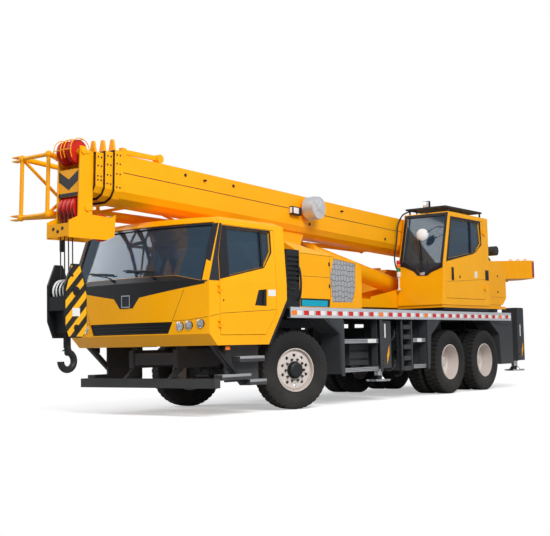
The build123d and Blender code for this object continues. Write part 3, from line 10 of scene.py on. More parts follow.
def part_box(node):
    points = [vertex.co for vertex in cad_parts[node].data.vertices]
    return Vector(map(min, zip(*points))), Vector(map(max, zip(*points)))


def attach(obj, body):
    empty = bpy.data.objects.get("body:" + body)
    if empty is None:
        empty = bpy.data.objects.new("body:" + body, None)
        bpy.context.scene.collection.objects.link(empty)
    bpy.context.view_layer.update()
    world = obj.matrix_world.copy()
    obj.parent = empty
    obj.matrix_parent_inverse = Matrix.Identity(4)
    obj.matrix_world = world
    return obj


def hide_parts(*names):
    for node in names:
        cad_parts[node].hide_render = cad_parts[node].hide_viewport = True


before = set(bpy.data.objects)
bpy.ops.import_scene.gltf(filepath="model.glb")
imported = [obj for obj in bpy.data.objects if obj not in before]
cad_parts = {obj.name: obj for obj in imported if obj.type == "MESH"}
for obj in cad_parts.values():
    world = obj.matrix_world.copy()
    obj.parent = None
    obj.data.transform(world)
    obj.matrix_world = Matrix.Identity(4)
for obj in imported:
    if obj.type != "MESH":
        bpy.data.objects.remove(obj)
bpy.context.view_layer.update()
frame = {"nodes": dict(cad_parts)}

logging.basicConfig(level=logging.INFO, format="%(message)s")
log = logging.getLogger("crane")

AXLE_Y = -2.496
WHEEL_Z = 0.5425
SIDES = ((1, "left"), (-1, "right"))
SIGNS = (1, -1)


class Axis(Enum):
    """A direction of the machine's frame."""

    X = 0
    Y = 1
    Z = 2


class Pattern(Enum):
    """How a finish varies over its surface."""

    PLAIN = "plain"
    WARNING_STRIPES = "warning stripes"
    TREAD_PLATE = "tread plate"
    COBBLES = "cobbles"


# ---------------------------------------------------------------- finishes
@dataclass(frozen=True)
class Finish:
    """One surface finish.

    The colour is linear. Dust is how much settles low on the machine.
    """

    name: str
    colour: tuple[float, float, float]
    metallic: float = 0.0
    roughness: float = 0.45
    dust: float = 0.15
    grain: float = 0.02
    coat: float = 0.0
    pattern: Pattern = Pattern.PLAIN
    second: tuple[float, float, float] = (0.02, 0.02, 0.02)
    pitch: float = 0.1
    gloss: float = 0.5


YELLOW = (0.97, 0.405, 0.002)
FINISHES = {
    finish.name: finish
    for finish in (
        Finish("amber paint", YELLOW, roughness=0.36, dust=0.06, coat=0.08, gloss=0.15),
        Finish("cab paint", (1.0, 0.435, 0.002), roughness=0.30, dust=0.05, coat=0.15, gloss=0.15),
        Finish("black trim", (0.010, 0.011, 0.013), roughness=0.42, dust=0.05, gloss=0.35),
        Finish("gloss black panel", (0.012, 0.015, 0.024), roughness=0.18, dust=0.02, coat=0.3),
        Finish("frame grey", (0.034, 0.037, 0.042), roughness=0.50, dust=0.12, gloss=0.35),
        Finish("bar grey", (0.036, 0.038, 0.041), roughness=0.55, dust=0.08, gloss=0.3),
        Finish("hood panel grey", (0.36, 0.36, 0.37), roughness=0.6, dust=0.05, pattern=Pattern.COBBLES,
               second=(0.045, 0.045, 0.05), pitch=0.080),
        Finish("rim paint", (0.70, 0.62, 0.57), roughness=0.45, dust=0.15),
        Finish("step alloy", (0.52, 0.53, 0.55), metallic=0.6, roughness=0.38, dust=0.15,
               pattern=Pattern.TREAD_PLATE, pitch=0.03),
        Finish("bright steel", (0.70, 0.70, 0.72), metallic=1.0, roughness=0.18, dust=0.02),
        Finish("greased steel", (0.07, 0.065, 0.06), metallic=0.7, roughness=0.45, dust=0.05),
        Finish("cast iron", (0.05, 0.05, 0.052), metallic=0.3, roughness=0.65, dust=0.15, grain=0.06),
        Finish("sheave red", (0.55, 0.016, 0.008), roughness=0.42, dust=0.05, gloss=0.3),
        Finish("lamp red", (0.60, 0.008, 0.008), roughness=0.15, dust=0.0),
        Finish("lamp amber", (0.95, 0.20, 0.004), roughness=0.15, dust=0.0),
        Finish("lamp green", (0.005, 0.22, 0.05), roughness=0.2, dust=0.0),
        Finish("lamp silver", (0.72, 0.74, 0.76), metallic=0.6, roughness=0.25, dust=0.0),
        Finish("skirt silver", (0.50, 0.51, 0.53), roughness=0.4, dust=0.05),
        Finish("deck alloy", (0.20, 0.205, 0.21), metallic=0.2, roughness=0.55, dust=0.1,
               pattern=Pattern.TREAD_PLATE, pitch=0.04),
        Finish("marker red", (0.66, 0.012, 0.008), roughness=0.3, dust=0.03),
        Finish("label white", (0.80, 0.80, 0.78), roughness=0.5, dust=0.05),
        Finish("plate cyan", (0.0, 0.36, 0.50), roughness=0.4, dust=0.03, gloss=0.3),
        Finish("seat cloth", (0.022, 0.026, 0.034), roughness=0.9, dust=0.0, grain=0.05, gloss=0.2),
        Finish("tyre rubber", (0.0085, 0.0085, 0.0095), roughness=0.78, dust=0.10, grain=0.05, gloss=0.3),
        Finish("warning stripes", (0.92, 0.46, 0.004), roughness=0.4, dust=0.05,
               pattern=Pattern.WARNING_STRIPES, second=(0.012, 0.012, 0.012), pitch=0.20),
    )
}


class Nodes:
    """Short ways to place and link shader nodes."""

    def __init__(self, tree: bpy.types.NodeTree) -> None:
        """Keep the tree that the nodes go into."""
        self.tree = tree

    def add(self, kind: str, **values: object) -> bpy.types.Node:
        """Add a node.

        Args:
            kind: the node's type name.
            values: properties of the node; inputs are given as in_NAME.

        Returns:
            The new node.
        """
        node = self.tree.nodes.new(kind)
        for key, value in values.items():
            if key.startswith("in_"):
                node.inputs[key[3:].replace("_", " ")].default_value = value
            else:
                setattr(node, key, value)
        return node

    def link(self, source: bpy.types.NodeSocket, target: bpy.types.NodeSocket) -> None:
        """Link two sockets."""
        self.tree.links.new(source, target)

    def maths(self, operation: str, first: object, second: object = 0.0) -> bpy.types.NodeSocket:
        """Add a Math node.

        Args:
            operation: the operation's name.
            first: a socket or a number.
            second: a socket or a number.

        Returns:
            The result's socket.
        """
        node = self.add("ShaderNodeMath", operation=operation)
        for socket, value in zip(node.inputs, (first, second)):
            if isinstance(value, bpy.types.NodeSocket):
                self.link(value, socket)
            else:
                socket.default_value = value
        return node.outputs[0]

    def mix(self, factor: object, first: object, second: object) -> bpy.types.NodeSocket:
        """Mix two colours.

        Args:
            factor: a socket or a number.
            first: the colour at 0, a socket or a tuple.
            second: the colour at 1, a socket or a tuple.

        Returns:
            The mixed colour's socket.
        """
        node = self.add("ShaderNodeMix", data_type="RGBA")
        for socket, value in ((node.inputs[0], factor), (node.inputs[6], first), (node.inputs[7], second)):
            if isinstance(value, bpy.types.NodeSocket):
                self.link(value, socket)
            elif isinstance(value, tuple):
                socket.default_value = (*value, 1.0)
            else:
                socket.default_value = value
        return node.outputs[2]


def new_group(name: str, inputs: tuple, outputs: tuple) -> bpy.types.NodeTree:
    """Make an empty shader node group with its sockets.

    Args:
        name: the group's name.
        inputs: (name, socket type, default) of each input.
        outputs: (name, socket type) of each output.

    Returns:
        The group.
    """
    group = bpy.data.node_groups.new(name, "ShaderNodeTree")
    for label, kind, default in inputs:
        socket = group.interface.new_socket(label, in_out="INPUT", socket_type=kind)
        if default is not None:
            socket.default_value = default
    for label, kind in outputs:
        group.interface.new_socket(label, in_out="OUTPUT", socket_type=kind)
    return group


def weathering_group() -> bpy.types.NodeTree:
    """Build the group that adds road dust low down, faint cloudiness and a fine grain.

    Returns:
        The group, with colour, roughness and height out.
    """
    group = new_group("Weathering",
                      (("Vector", "NodeSocketVector", None), ("Colour", "NodeSocketColor", (1, 1, 1, 1)),
                       ("Roughness", "NodeSocketFloat", 0.5), ("Dust", "NodeSocketFloat", 0.1),
                       ("Grain", "NodeSocketFloat", 0.02)),
                      (("Colour", "NodeSocketColor"), ("Roughness", "NodeSocketFloat"),
                       ("Height", "NodeSocketFloat")))
    kit = Nodes(group)
    start, end = kit.add("NodeGroupInput"), kit.add("NodeGroupOutput")
    split = kit.add("ShaderNodeSeparateXYZ")
    kit.link(start.outputs["Vector"], split.inputs[0])
    cloud = kit.add("ShaderNodeTexNoise", in_Scale=2.3, in_Detail=4.0, in_Roughness=0.6)
    fine = kit.add("ShaderNodeTexNoise", in_Scale=130.0, in_Detail=2.0)
    kit.link(start.outputs["Vector"], cloud.inputs["Vector"])
    kit.link(start.outputs["Vector"], fine.inputs["Vector"])
    low = kit.add("ShaderNodeMapRange", in_From_Min=1.3, in_From_Max=0.1, in_To_Min=0.0, in_To_Max=1.0)
    kit.link(split.outputs["Z"], low.inputs["Value"])
    amount = kit.maths("MULTIPLY", low.outputs[0], start.outputs["Dust"])
    amount = kit.maths("MULTIPLY", amount, kit.maths("MULTIPLY", cloud.outputs["Fac"], 1.8))
    dusty = kit.mix(amount, start.outputs["Colour"], (0.30, 0.27, 0.23))
    shade = kit.maths("ADD", kit.maths("MULTIPLY", cloud.outputs["Fac"], 0.16), 0.92)
    tint = kit.add("ShaderNodeVectorMath", operation="SCALE")
    kit.link(dusty, tint.inputs[0])
    kit.link(shade, tint.inputs["Scale"])
    kit.link(tint.outputs[0], end.inputs["Colour"])
    rough = kit.maths("ADD", start.outputs["Roughness"], kit.maths("MULTIPLY", amount, 0.4))
    rough = kit.maths("ADD", rough, kit.maths("MULTIPLY", cloud.outputs["Fac"], 0.06))
    kit.link(rough, end.inputs["Roughness"])
    kit.link(kit.maths("MULTIPLY", fine.outputs["Fac"], start.outputs["Grain"]), end.inputs["Height"])
    return group


class Palette:
    """Makes each finish's material once and hands it out."""

    def __init__(self) -> None:
        """Build the shared group."""
        self.weathering = weathering_group()
        self.made: dict[str, bpy.types.Material] = {}

    def pattern_colour(self, kit: Nodes, finish: Finish, place: bpy.types.NodeSocket) -> object:
        """Give the finish's colour over the surface.

        Args:
            kit: the material's nodes.
            finish: the finish.
            place: the Object coordinates.

        Returns:
            A socket, or a tuple for a plain colour.
        """
        if finish.pattern in (Pattern.PLAIN, Pattern.TREAD_PLATE):
            return finish.colour
        if finish.pattern is Pattern.COBBLES:
            split, flat = kit.add("ShaderNodeSeparateXYZ"), kit.add("ShaderNodeCombineXYZ")
            kit.link(place, split.inputs[0])
            kit.link(split.outputs["Y"], flat.inputs["X"])
            kit.link(split.outputs["Z"], flat.inputs["Y"])
            cells = kit.add("ShaderNodeTexVoronoi", feature="DISTANCE_TO_EDGE", voronoi_dimensions="2D",
                            in_Scale=1.0 / finish.pitch, in_Randomness=0.45)
            kit.link(flat.outputs[0], cells.inputs["Vector"])
            joint = kit.maths("LESS_THAN", cells.outputs["Distance"], 0.05)
            return kit.mix(joint, finish.colour, finish.second)
        split = kit.add("ShaderNodeSeparateXYZ")
        kit.link(place, split.inputs[0])
        along = kit.maths("SUBTRACT", split.outputs["Y"], split.outputs["Z"])
        turn = kit.maths("FRACT", kit.maths("DIVIDE", along, finish.pitch))
        half = kit.maths("GREATER_THAN", turn, 0.5)
        return kit.mix(half, finish.colour, finish.second)

    def material(self, name: str) -> bpy.types.Material:
        """Give a finish's material.

        Args:
            name: the finish's name.

        Returns:
            The material.
        """
        if name in self.made:
            return self.made[name]
        finish = FINISHES[name]
        material = bpy.data.materials.new(name)
        material.use_nodes = True
        tree = material.node_tree
        tree.nodes.clear()
        kit = Nodes(tree)
        out = kit.add("ShaderNodeOutputMaterial")
        shader = kit.add("ShaderNodeBsdfPrincipled", in_Metallic=finish.metallic, in_Coat_Weight=finish.coat,
                         in_Coat_Roughness=0.08, in_Specular_IOR_Level=finish.gloss)
        kit.link(shader.outputs[0], out.inputs[0])
        place = kit.add("ShaderNodeTexCoord").outputs["Object"]
        weather = kit.add("ShaderNodeGroup", node_tree=self.weathering, in_Roughness=finish.roughness,
                          in_Dust=finish.dust, in_Grain=finish.grain)
        kit.link(place, weather.inputs["Vector"])
        colour = self.pattern_colour(kit, finish, place)
        if isinstance(colour, tuple):
            weather.inputs["Colour"].default_value = (*colour, 1.0)
        else:
            kit.link(colour, weather.inputs["Colour"])
        kit.link(weather.outputs["Colour"], shader.inputs["Base Color"])
        kit.link(weather.outputs["Roughness"], shader.inputs["Roughness"])
        height = weather.outputs["Height"]
        if finish.pattern is Pattern.TREAD_PLATE:
            lumps = kit.add("ShaderNodeTexVoronoi", feature="F1", in_Scale=1.0 / finish.pitch)
            kit.link(place, lumps.inputs["Vector"])
            height = kit.maths("ADD", height, kit.maths("LESS_THAN", lumps.outputs["Distance"], 0.3))
        bump = kit.add("ShaderNodeBump", in_Strength=0.25, in_Distance=0.002)
        kit.link(height, bump.inputs["Height"])
        kit.link(bump.outputs[0], shader.inputs["Normal"])
        self.made[name] = material
        return material

    def glass_with_painted_sky(self) -> bpy.types.Material:
        """Give the dark window glass, seen through a little, with a blue base colour that is a painted
        reflection of the sky.
        """
        if "window glass" in self.made:
            return self.made["window glass"]
        material = bpy.data.materials.new("window glass")
        material.use_nodes = True
        shader = material.node_tree.nodes["Principled BSDF"]
        # blue base colour: painted reflection of the sky in the glass
        shader.inputs["Base Color"].default_value = (0.11, 0.23, 0.36, 1.0)
        shader.inputs["Roughness"].default_value = 0.04
        shader.inputs["Metallic"].default_value = 0.0
        shader.inputs["Transmission Weight"].default_value = 0.85
        shader.inputs["IOR"].default_value = 1.5
        self.made["window glass"] = material
        return material

    def clear_lens(self) -> bpy.types.Material:
        """Give the clear lens of a lamp."""
        if "lamp lens" in self.made:
            return self.made["lamp lens"]
        material = bpy.data.materials.new("lamp lens")
        material.use_nodes = True
        shader = material.node_tree.nodes["Principled BSDF"]
        shader.inputs["Base Color"].default_value = (0.9, 0.92, 0.95, 1.0)
        shader.inputs["Roughness"].default_value = 0.05
        shader.inputs["Transmission Weight"].default_value = 0.7
        self.made["lamp lens"] = material
        return material

    def dress(self, piece: bpy.types.Object, name: str) -> None:
        """Give a piece one finish all over.

        Args:
            piece: the mesh object.
            name: the finish's name, or "window glass" or "lamp lens".
        """
        makers = {"window glass": self.glass_with_painted_sky, "lamp lens": self.clear_lens}
        material = makers[name]() if name in makers else self.material(name)
        piece.data.materials.clear()
        piece.data.materials.append(material)


PALETTE = Palette()


# ---------------------------------------------------------------- modelling helpers
def rest_tools() -> None:
    """Leave edit mode and deselect everything."""
    if bpy.context.object and bpy.context.object.mode != "OBJECT":
        bpy.ops.object.mode_set(mode="OBJECT")
    bpy.ops.object.select_all(action="DESELECT")


def take(piece: bpy.types.Object) -> None:
    """Select one piece alone and make it active."""
    rest_tools()
    piece.select_set(True)
    bpy.context.view_layer.objects.active = piece


def settle(piece: bpy.types.Object) -> bpy.types.Object:
    """Put a piece's place into its mesh."""
    take(piece)
    bpy.ops.object.transform_apply(location=True, rotation=True, scale=True)
    return piece


def apply_modifier(piece: bpy.types.Object, kind: str, **values: object) -> None:
    """Add a modifier with the values given and apply it."""
    take(piece)
    modifier = piece.modifiers.new(kind.title(), kind)
    for key, value in values.items():
        setattr(modifier, key, value)
    bpy.ops.object.modifier_apply(modifier=modifier.name)


def soften(piece: bpy.types.Object, width: float, segments: int = 2) -> bpy.types.Object:
    """Round a piece's edges and smooth what is round.

    Args:
        piece: the mesh object.
        width: the bevel's width in metres.
        segments: steps across the bevel.

    Returns:
        The piece.
    """
    if width > 0:
        apply_modifier(piece, "BEVEL", width=width, segments=segments, limit_method="ANGLE", angle_limit=0.6)
    take(piece)
    bpy.ops.object.shade_smooth_by_angle(angle=0.6)
    return piece


def box(name: str, low: tuple, high: tuple, bevel: float = 0.004) -> bpy.types.Object:
    """Model a block between two corners with rounded edges.

    Args:
        name: the piece's name.
        low: lowest corner.
        high: highest corner.
        bevel: the edges' radius.

    Returns:
        The piece.
    """
    rest_tools()
    low, high = Vector(low), Vector(high)
    bpy.ops.mesh.primitive_cube_add(size=1.0, location=(low + high) / 2, scale=tuple(high - low))
    piece = bpy.context.object
    piece.name = name
    settle(piece)
    return soften(piece, bevel)


def side_box(name: str, side: int, across: tuple, along: tuple, heights: tuple,
             bevel: float = 0.0) -> bpy.types.Object:
    """Model a block on one side of the machine.

    Args:
        name: the piece's name.
        side: 1 on the left, -1 on the right.
        across: nearest and farthest distance from the middle.
        along: first and last place along the machine.
        heights: bottom and top.
        bevel: the edges' radius.

    Returns:
        The piece.
    """
    low, high = sorted((side * across[0], side * across[1]))
    return box(name, (low, along[0], heights[0]), (high, along[1], heights[1]), bevel)


def bar(name: str, start: tuple, end: tuple, radius: float, sides: int = 20,
        bevel: float = 0.0) -> bpy.types.Object:
    """Model a round bar between two points.

    Args:
        name: the piece's name.
        start: centre of one end.
        end: centre of the other end.
        radius: the bar's radius.
        sides: faces round it.
        bevel: rounding of its ends.

    Returns:
        The piece.
    """
    rest_tools()
    start, end = Vector(start), Vector(end)
    along = end - start
    bpy.ops.mesh.primitive_cylinder_add(vertices=sides, radius=radius, depth=along.length)
    piece = bpy.context.object
    piece.name = name
    turned = along.to_track_quat("Z", "Y").to_matrix().to_4x4()
    piece.matrix_world = Matrix.Translation((start + end) / 2) @ turned
    settle(piece)
    return soften(piece, bevel)


def ring(name: str, centre: tuple, axis: tuple, radius: float, thickness: float,
         steps: tuple[int, int] = (32, 8)) -> bpy.types.Object:
    """Model a ring of round section.

    Args:
        name: the piece's name.
        centre: the ring's centre.
        axis: the ring's axis.
        radius: radius of its middle line.
        thickness: radius of its section.
        steps: faces round the ring and round its section.

    Returns:
        The piece.
    """
    rest_tools()
    bpy.ops.mesh.primitive_torus_add(major_radius=radius, minor_radius=thickness, major_segments=steps[0],
                                     minor_segments=steps[1])
    piece = bpy.context.object
    piece.name = name
    turn = Vector(axis).to_track_quat("Z", "Y").to_matrix().to_4x4()
    piece.matrix_world = Matrix.Translation(Vector(centre)) @ turn
    settle(piece)
    return soften(piece, 0.0)


def lathe(name: str, profile: tuple, centre: tuple, axis: tuple, steps: int = 48) -> bpy.types.Object:
    """Spin an outline of (along, radius) points about an axis.

    Args:
        name: the piece's name.
        profile: points along the axis and their radius, from one end to the other.
        centre: where the axis' zero lies.
        axis: direction of the axis.
        steps: faces round it.

    Returns:
        The piece.
    """
    rest_tools()
    bpy.ops.mesh.primitive_plane_add(size=1.0)
    piece = bpy.context.object
    piece.name = name
    mesh = piece.data
    mesh.clear_geometry()
    points = [(radius, 0.0, along) for along, radius in profile]
    mesh.from_pydata(points, [(k, k + 1) for k in range(len(points) - 1)], [])
    take(piece)
    bpy.ops.object.mode_set(mode="EDIT")
    bpy.ops.mesh.select_all(action="SELECT")
    bpy.ops.mesh.spin(steps=steps, angle=2 * math.pi, center=(0, 0, 0), axis=(0, 0, 1))
    bpy.ops.mesh.select_all(action="SELECT")
    bpy.ops.mesh.remove_doubles(threshold=0.00005)
    bpy.ops.mesh.normals_make_consistent(inside=False)
    bpy.ops.object.mode_set(mode="OBJECT")
    turn = Vector(axis).to_track_quat("Z", "Y").to_matrix().to_4x4()
    piece.matrix_world = Matrix.Translation(Vector(centre)) @ turn
    settle(piece)
    return soften(piece, 0.0)


def extruded(name: str, corners: list, faces: list, axis: Axis, depth: float) -> bpy.types.Object:
    """Make flat faces and extrude them along an axis into a closed solid."""
    rest_tools()
    bpy.ops.mesh.primitive_plane_add(size=1.0)
    piece = bpy.context.object
    piece.name = name
    mesh = piece.data
    mesh.clear_geometry()
    mesh.from_pydata(corners, [], faces)
    take(piece)
    move = [0.0, 0.0, 0.0]
    move[axis.value] = depth
    bpy.ops.object.mode_set(mode="EDIT")
    bpy.ops.mesh.select_all(action="SELECT")
    bpy.ops.mesh.extrude_region_move(TRANSFORM_OT_translate={"value": move})
    bpy.ops.mesh.select_all(action="SELECT")
    bpy.ops.mesh.normals_make_consistent(inside=False)
    bpy.ops.object.mode_set(mode="OBJECT")
    return piece


def slab(name: str, outline: tuple, axis: Axis, start: float, depth: float,
         bevel: float = 0.0) -> bpy.types.Object:
    """Extrude a flat outline.

    Args:
        name: the piece's name.
        outline: corners in the two other directions, in their order.
        axis: direction of the extrusion.
        start: where the outline lies on that axis.
        depth: how far it is extruded, either way.
        bevel: rounding of its edges.

    Returns:
        The piece.
    """
    corners = []
    for first, second in outline:
        corner = [first, second]
        corner.insert(axis.value, start)
        corners.append(corner)
    piece = extruded(name, corners, [tuple(range(len(corners)))], axis, depth)
    return soften(piece, bevel)


def at(station: float) -> float:
    """Give the place along the machine of a distance behind the front axle."""
    return AXLE_Y + station


def stations(outline: tuple) -> tuple:
    """Turn (station, height) corners into (y, z) corners."""
    return tuple((at(station), z) for station, z in outline)


def frame_slab(name: str, outer: tuple, inner: tuple, axis: Axis, start: float,
               depth: float) -> bpy.types.Object:
    """Extrude the flat ring between two outlines with as many corners.

    Args:
        name: the piece's name.
        outer: corners of the outer outline.
        inner: corners of the opening, in the same order.
        axis: direction of the extrusion.
        start: where the ring lies on that axis.
        depth: how far it is extruded, either way.

    Returns:
        The piece.
    """
    corners = []
    for first, second in outer + inner:
        corner = [first, second]
        corner.insert(axis.value, start)
        corners.append(corner)
    count = len(outer)
    faces = [(k, (k + 1) % count, (k + 1) % count + count, k + count) for k in range(count)]
    return extruded(name, corners, faces, axis, depth)


def hose(name: str, points: tuple, radius: float) -> bpy.types.Object:
    """Model a bent pipe or rod through points.

    Args:
        name: the piece's name.
        points: places that it passes through.
        radius: the pipe's radius.

    Returns:
        The piece as a mesh.
    """
    rest_tools()
    bpy.ops.curve.primitive_bezier_curve_add()
    pipe = bpy.context.object
    pipe.name = name
    curve = pipe.data
    curve.splines.clear()
    spline = curve.splines.new("BEZIER")
    spline.bezier_points.add(len(points) - 1)
    for knot, place in zip(spline.bezier_points, points):
        knot.co = place
        knot.handle_left_type = knot.handle_right_type = "AUTO"
    curve.bevel_depth = radius
    curve.bevel_resolution = 4
    curve.resolution_u = 8
    curve.use_fill_caps = True
    take(pipe)
    bpy.ops.object.convert(target="MESH")
    return soften(settle(bpy.context.object), 0.0)


def copied(piece: bpy.types.Object, move: Matrix, name: str) -> bpy.types.Object:
    """Copy a piece with its own mesh, moved by a matrix."""
    twin = piece.copy()
    twin.data = piece.data.copy()
    twin.name = name
    bpy.context.scene.collection.objects.link(twin)
    twin.data.transform(move)
    if move.determinant() < 0:
        twin.data.flip_normals()
    return twin


def swap(piece: bpy.types.Object, move: Matrix) -> bpy.types.Object:
    """Move a piece by a matrix that may mirror it."""
    twin = copied(piece, move, piece.name)
    bpy.data.objects.remove(piece)
    return twin


def joined(pieces: list, name: str) -> bpy.types.Object:
    """Join pieces into one object.

    Args:
        pieces: mesh objects with their materials.
        name: the joined piece's name.

    Returns:
        The joined piece.
    """
    rest_tools()
    for piece in pieces:
        piece.select_set(True)
    bpy.context.view_layer.objects.active = pieces[0]
    if len(pieces) > 1:
        bpy.ops.object.join()
    whole = bpy.context.object
    whole.name = name
    whole.data.name = name
    return whole


def fit_out(pieces: list, name: str, body: str, finish: str) -> bpy.types.Object:
    """Join pieces, give them one finish and let them ride on a body.

    Args:
        pieces: the mesh objects.
        name: the joined piece's name.
        body: the CAD body that it rides on.
        finish: the finish's name.

    Returns:
        The piece.
    """
    whole = joined(pieces, name)
    PALETTE.dress(whole, finish)
    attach(whole, body)
    log.info("%s rides on %s in %s", name, body, finish)
    return whole


MIRROR = Matrix.Scale(-1, 4, (1, 0, 0))


# ---------------------------------------------------------------- the CAD's own pieces
@dataclass
class CadFinishes:
    """Which finish each CAD node shows."""

    by_node: dict[str, str] = field(default_factory=lambda: {
        "chassis_frame": "frame grey", "deck": "deck alloy", "axles_and_springs": "frame grey",
        "cab_shell": "cab paint", "cab_glass": "window glass", "cab_grille": "black trim",
        "cab_interior": "seat cloth", "front_bar": "bar grey", "engine_hood": "amber paint",
        "engine_and_driveline": "cast iron", "boom_rest": "amber paint", "intake_columns": "black trim",
        "mudguards": "frame grey", "side_steps": "frame grey", "side_tanks": "frame grey",
        "tail_lamps": "black trim", "turntable_frame": "amber paint", "operator_cab": "cab paint",
        "operator_glass": "window glass", "operator_door": "cab paint", "operator_seat": "seat cloth",
        "sun_guard": "black trim", "machinery_boxes": "amber paint", "counterweight": "amber paint",
        "winches": "frame grey", "boom_base": "amber paint", "boom_section_2": "amber paint",
        "boom_section_3": "amber paint", "boom_head": "amber paint", "head_sheaves": "sheave red",
        "boom_fittings": "amber paint", "jib": "amber paint", "lift_barrel": "amber paint",
        "lift_rod": "bright steel", "hoist_ropes": "greased steel", "hook_block": "black trim",
    })
    by_start: tuple = (("cab_door", "cab paint"), ("knuckle", "frame grey"), ("front_tyre", "tyre rubber"),
                       ("front_rim", "rim paint"), ("axle2_tyres", "tyre rubber"),
                       ("axle3_tyres", "tyre rubber"), ("axle2_rims", "rim paint"),
                       ("axle3_rims", "rim paint"), ("outrigger", "frame grey"),
                       ("jack", "bright steel"))

    def dress(self, nodes: dict[str, bpy.types.Object]) -> None:
        """Give every CAD node its finish.

        Args:
            nodes: the frame's nodes by name.
        """
        for name, node in nodes.items():
            finish = self.by_node.get(name)
            if finish is None:
                finish = next(value for start, value in self.by_start if name.startswith(start))
            PALETTE.dress(node, finish)
            log.info("%s in %s", name, finish)


# ---------------------------------------------------------------- wheels
@dataclass
class Tyre:
    """One road tyre about the X axis: carcass, ribs and lugs."""

    lug_start: float
    lugs: int = 40
    lug_half: float = 0.0275
    right_half: tuple = ((0.006, 0.5424), (0.040, 0.5424), (0.040, 0.5310), (0.050, 0.5310), (0.050, 0.5423),
                         (0.084, 0.5405), (0.086, 0.5300), (0.118, 0.5275), (0.129, 0.512), (0.138, 0.485),
                         (0.144, 0.445), (0.1448, 0.420), (0.1415, 0.392), (0.137, 0.388), (0.135, 0.372),
                         (0.128, 0.345), (0.120, 0.330), (0.104, 0.3006))
    lining: tuple = ((0.100, 0.340), (0.122, 0.400), (0.118, 0.470), (0.090, 0.510))

    def carcass(self) -> bpy.types.Object:
        """Spin the tyre's section.

        Returns:
            The carcass with its ribs.
        """
        outside = self.right_half
        if self.lug_start < 0.05:
            outside = ((0.004, 0.5290),) + self.right_half[6:]
        mirrored_outside = tuple((-x, r) for x, r in reversed(outside))
        inside = self.lining + tuple((-x, r) for x, r in reversed(self.lining))
        middle = ((0.0, outside[0][1] - 0.010),)
        profile = mirrored_outside + middle + outside + inside + (mirrored_outside[0],)
        return lathe("tyre_carcass", profile, (0, 0, 0), (1, 0, 0), 72)

    def lug(self) -> bpy.types.Object:
        """Model one lug of the tread's left half.

        Returns:
            The lug, at the top of the tyre.
        """
        outline = ((self.lug_start, 0.5260), (self.lug_start, 0.5415), (0.1075, 0.5405), (0.1260, 0.5200),
                   (0.1355, 0.4860), (0.1270, 0.4820), (0.1080, 0.5150))
        return slab("tyre_lug", outline, Axis.Y, -self.lug_half, 2 * self.lug_half)

    def build(self) -> bpy.types.Object:
        """Model the whole tyre.

        Returns:
            The tyre at the origin.
        """
        pieces = [self.carcass()]
        lug = self.lug()
        step = 2 * math.pi / self.lugs
        for number in range(self.lugs):
            pieces.append(copied(lug, Matrix.Rotation(number * step, 4, "X"), "lug"))
            pieces.append(copied(lug, Matrix.Rotation((number + 0.5) * step, 4, "X") @ MIRROR, "lug"))
        bpy.data.objects.remove(lug)
        return joined(pieces, "tyre")


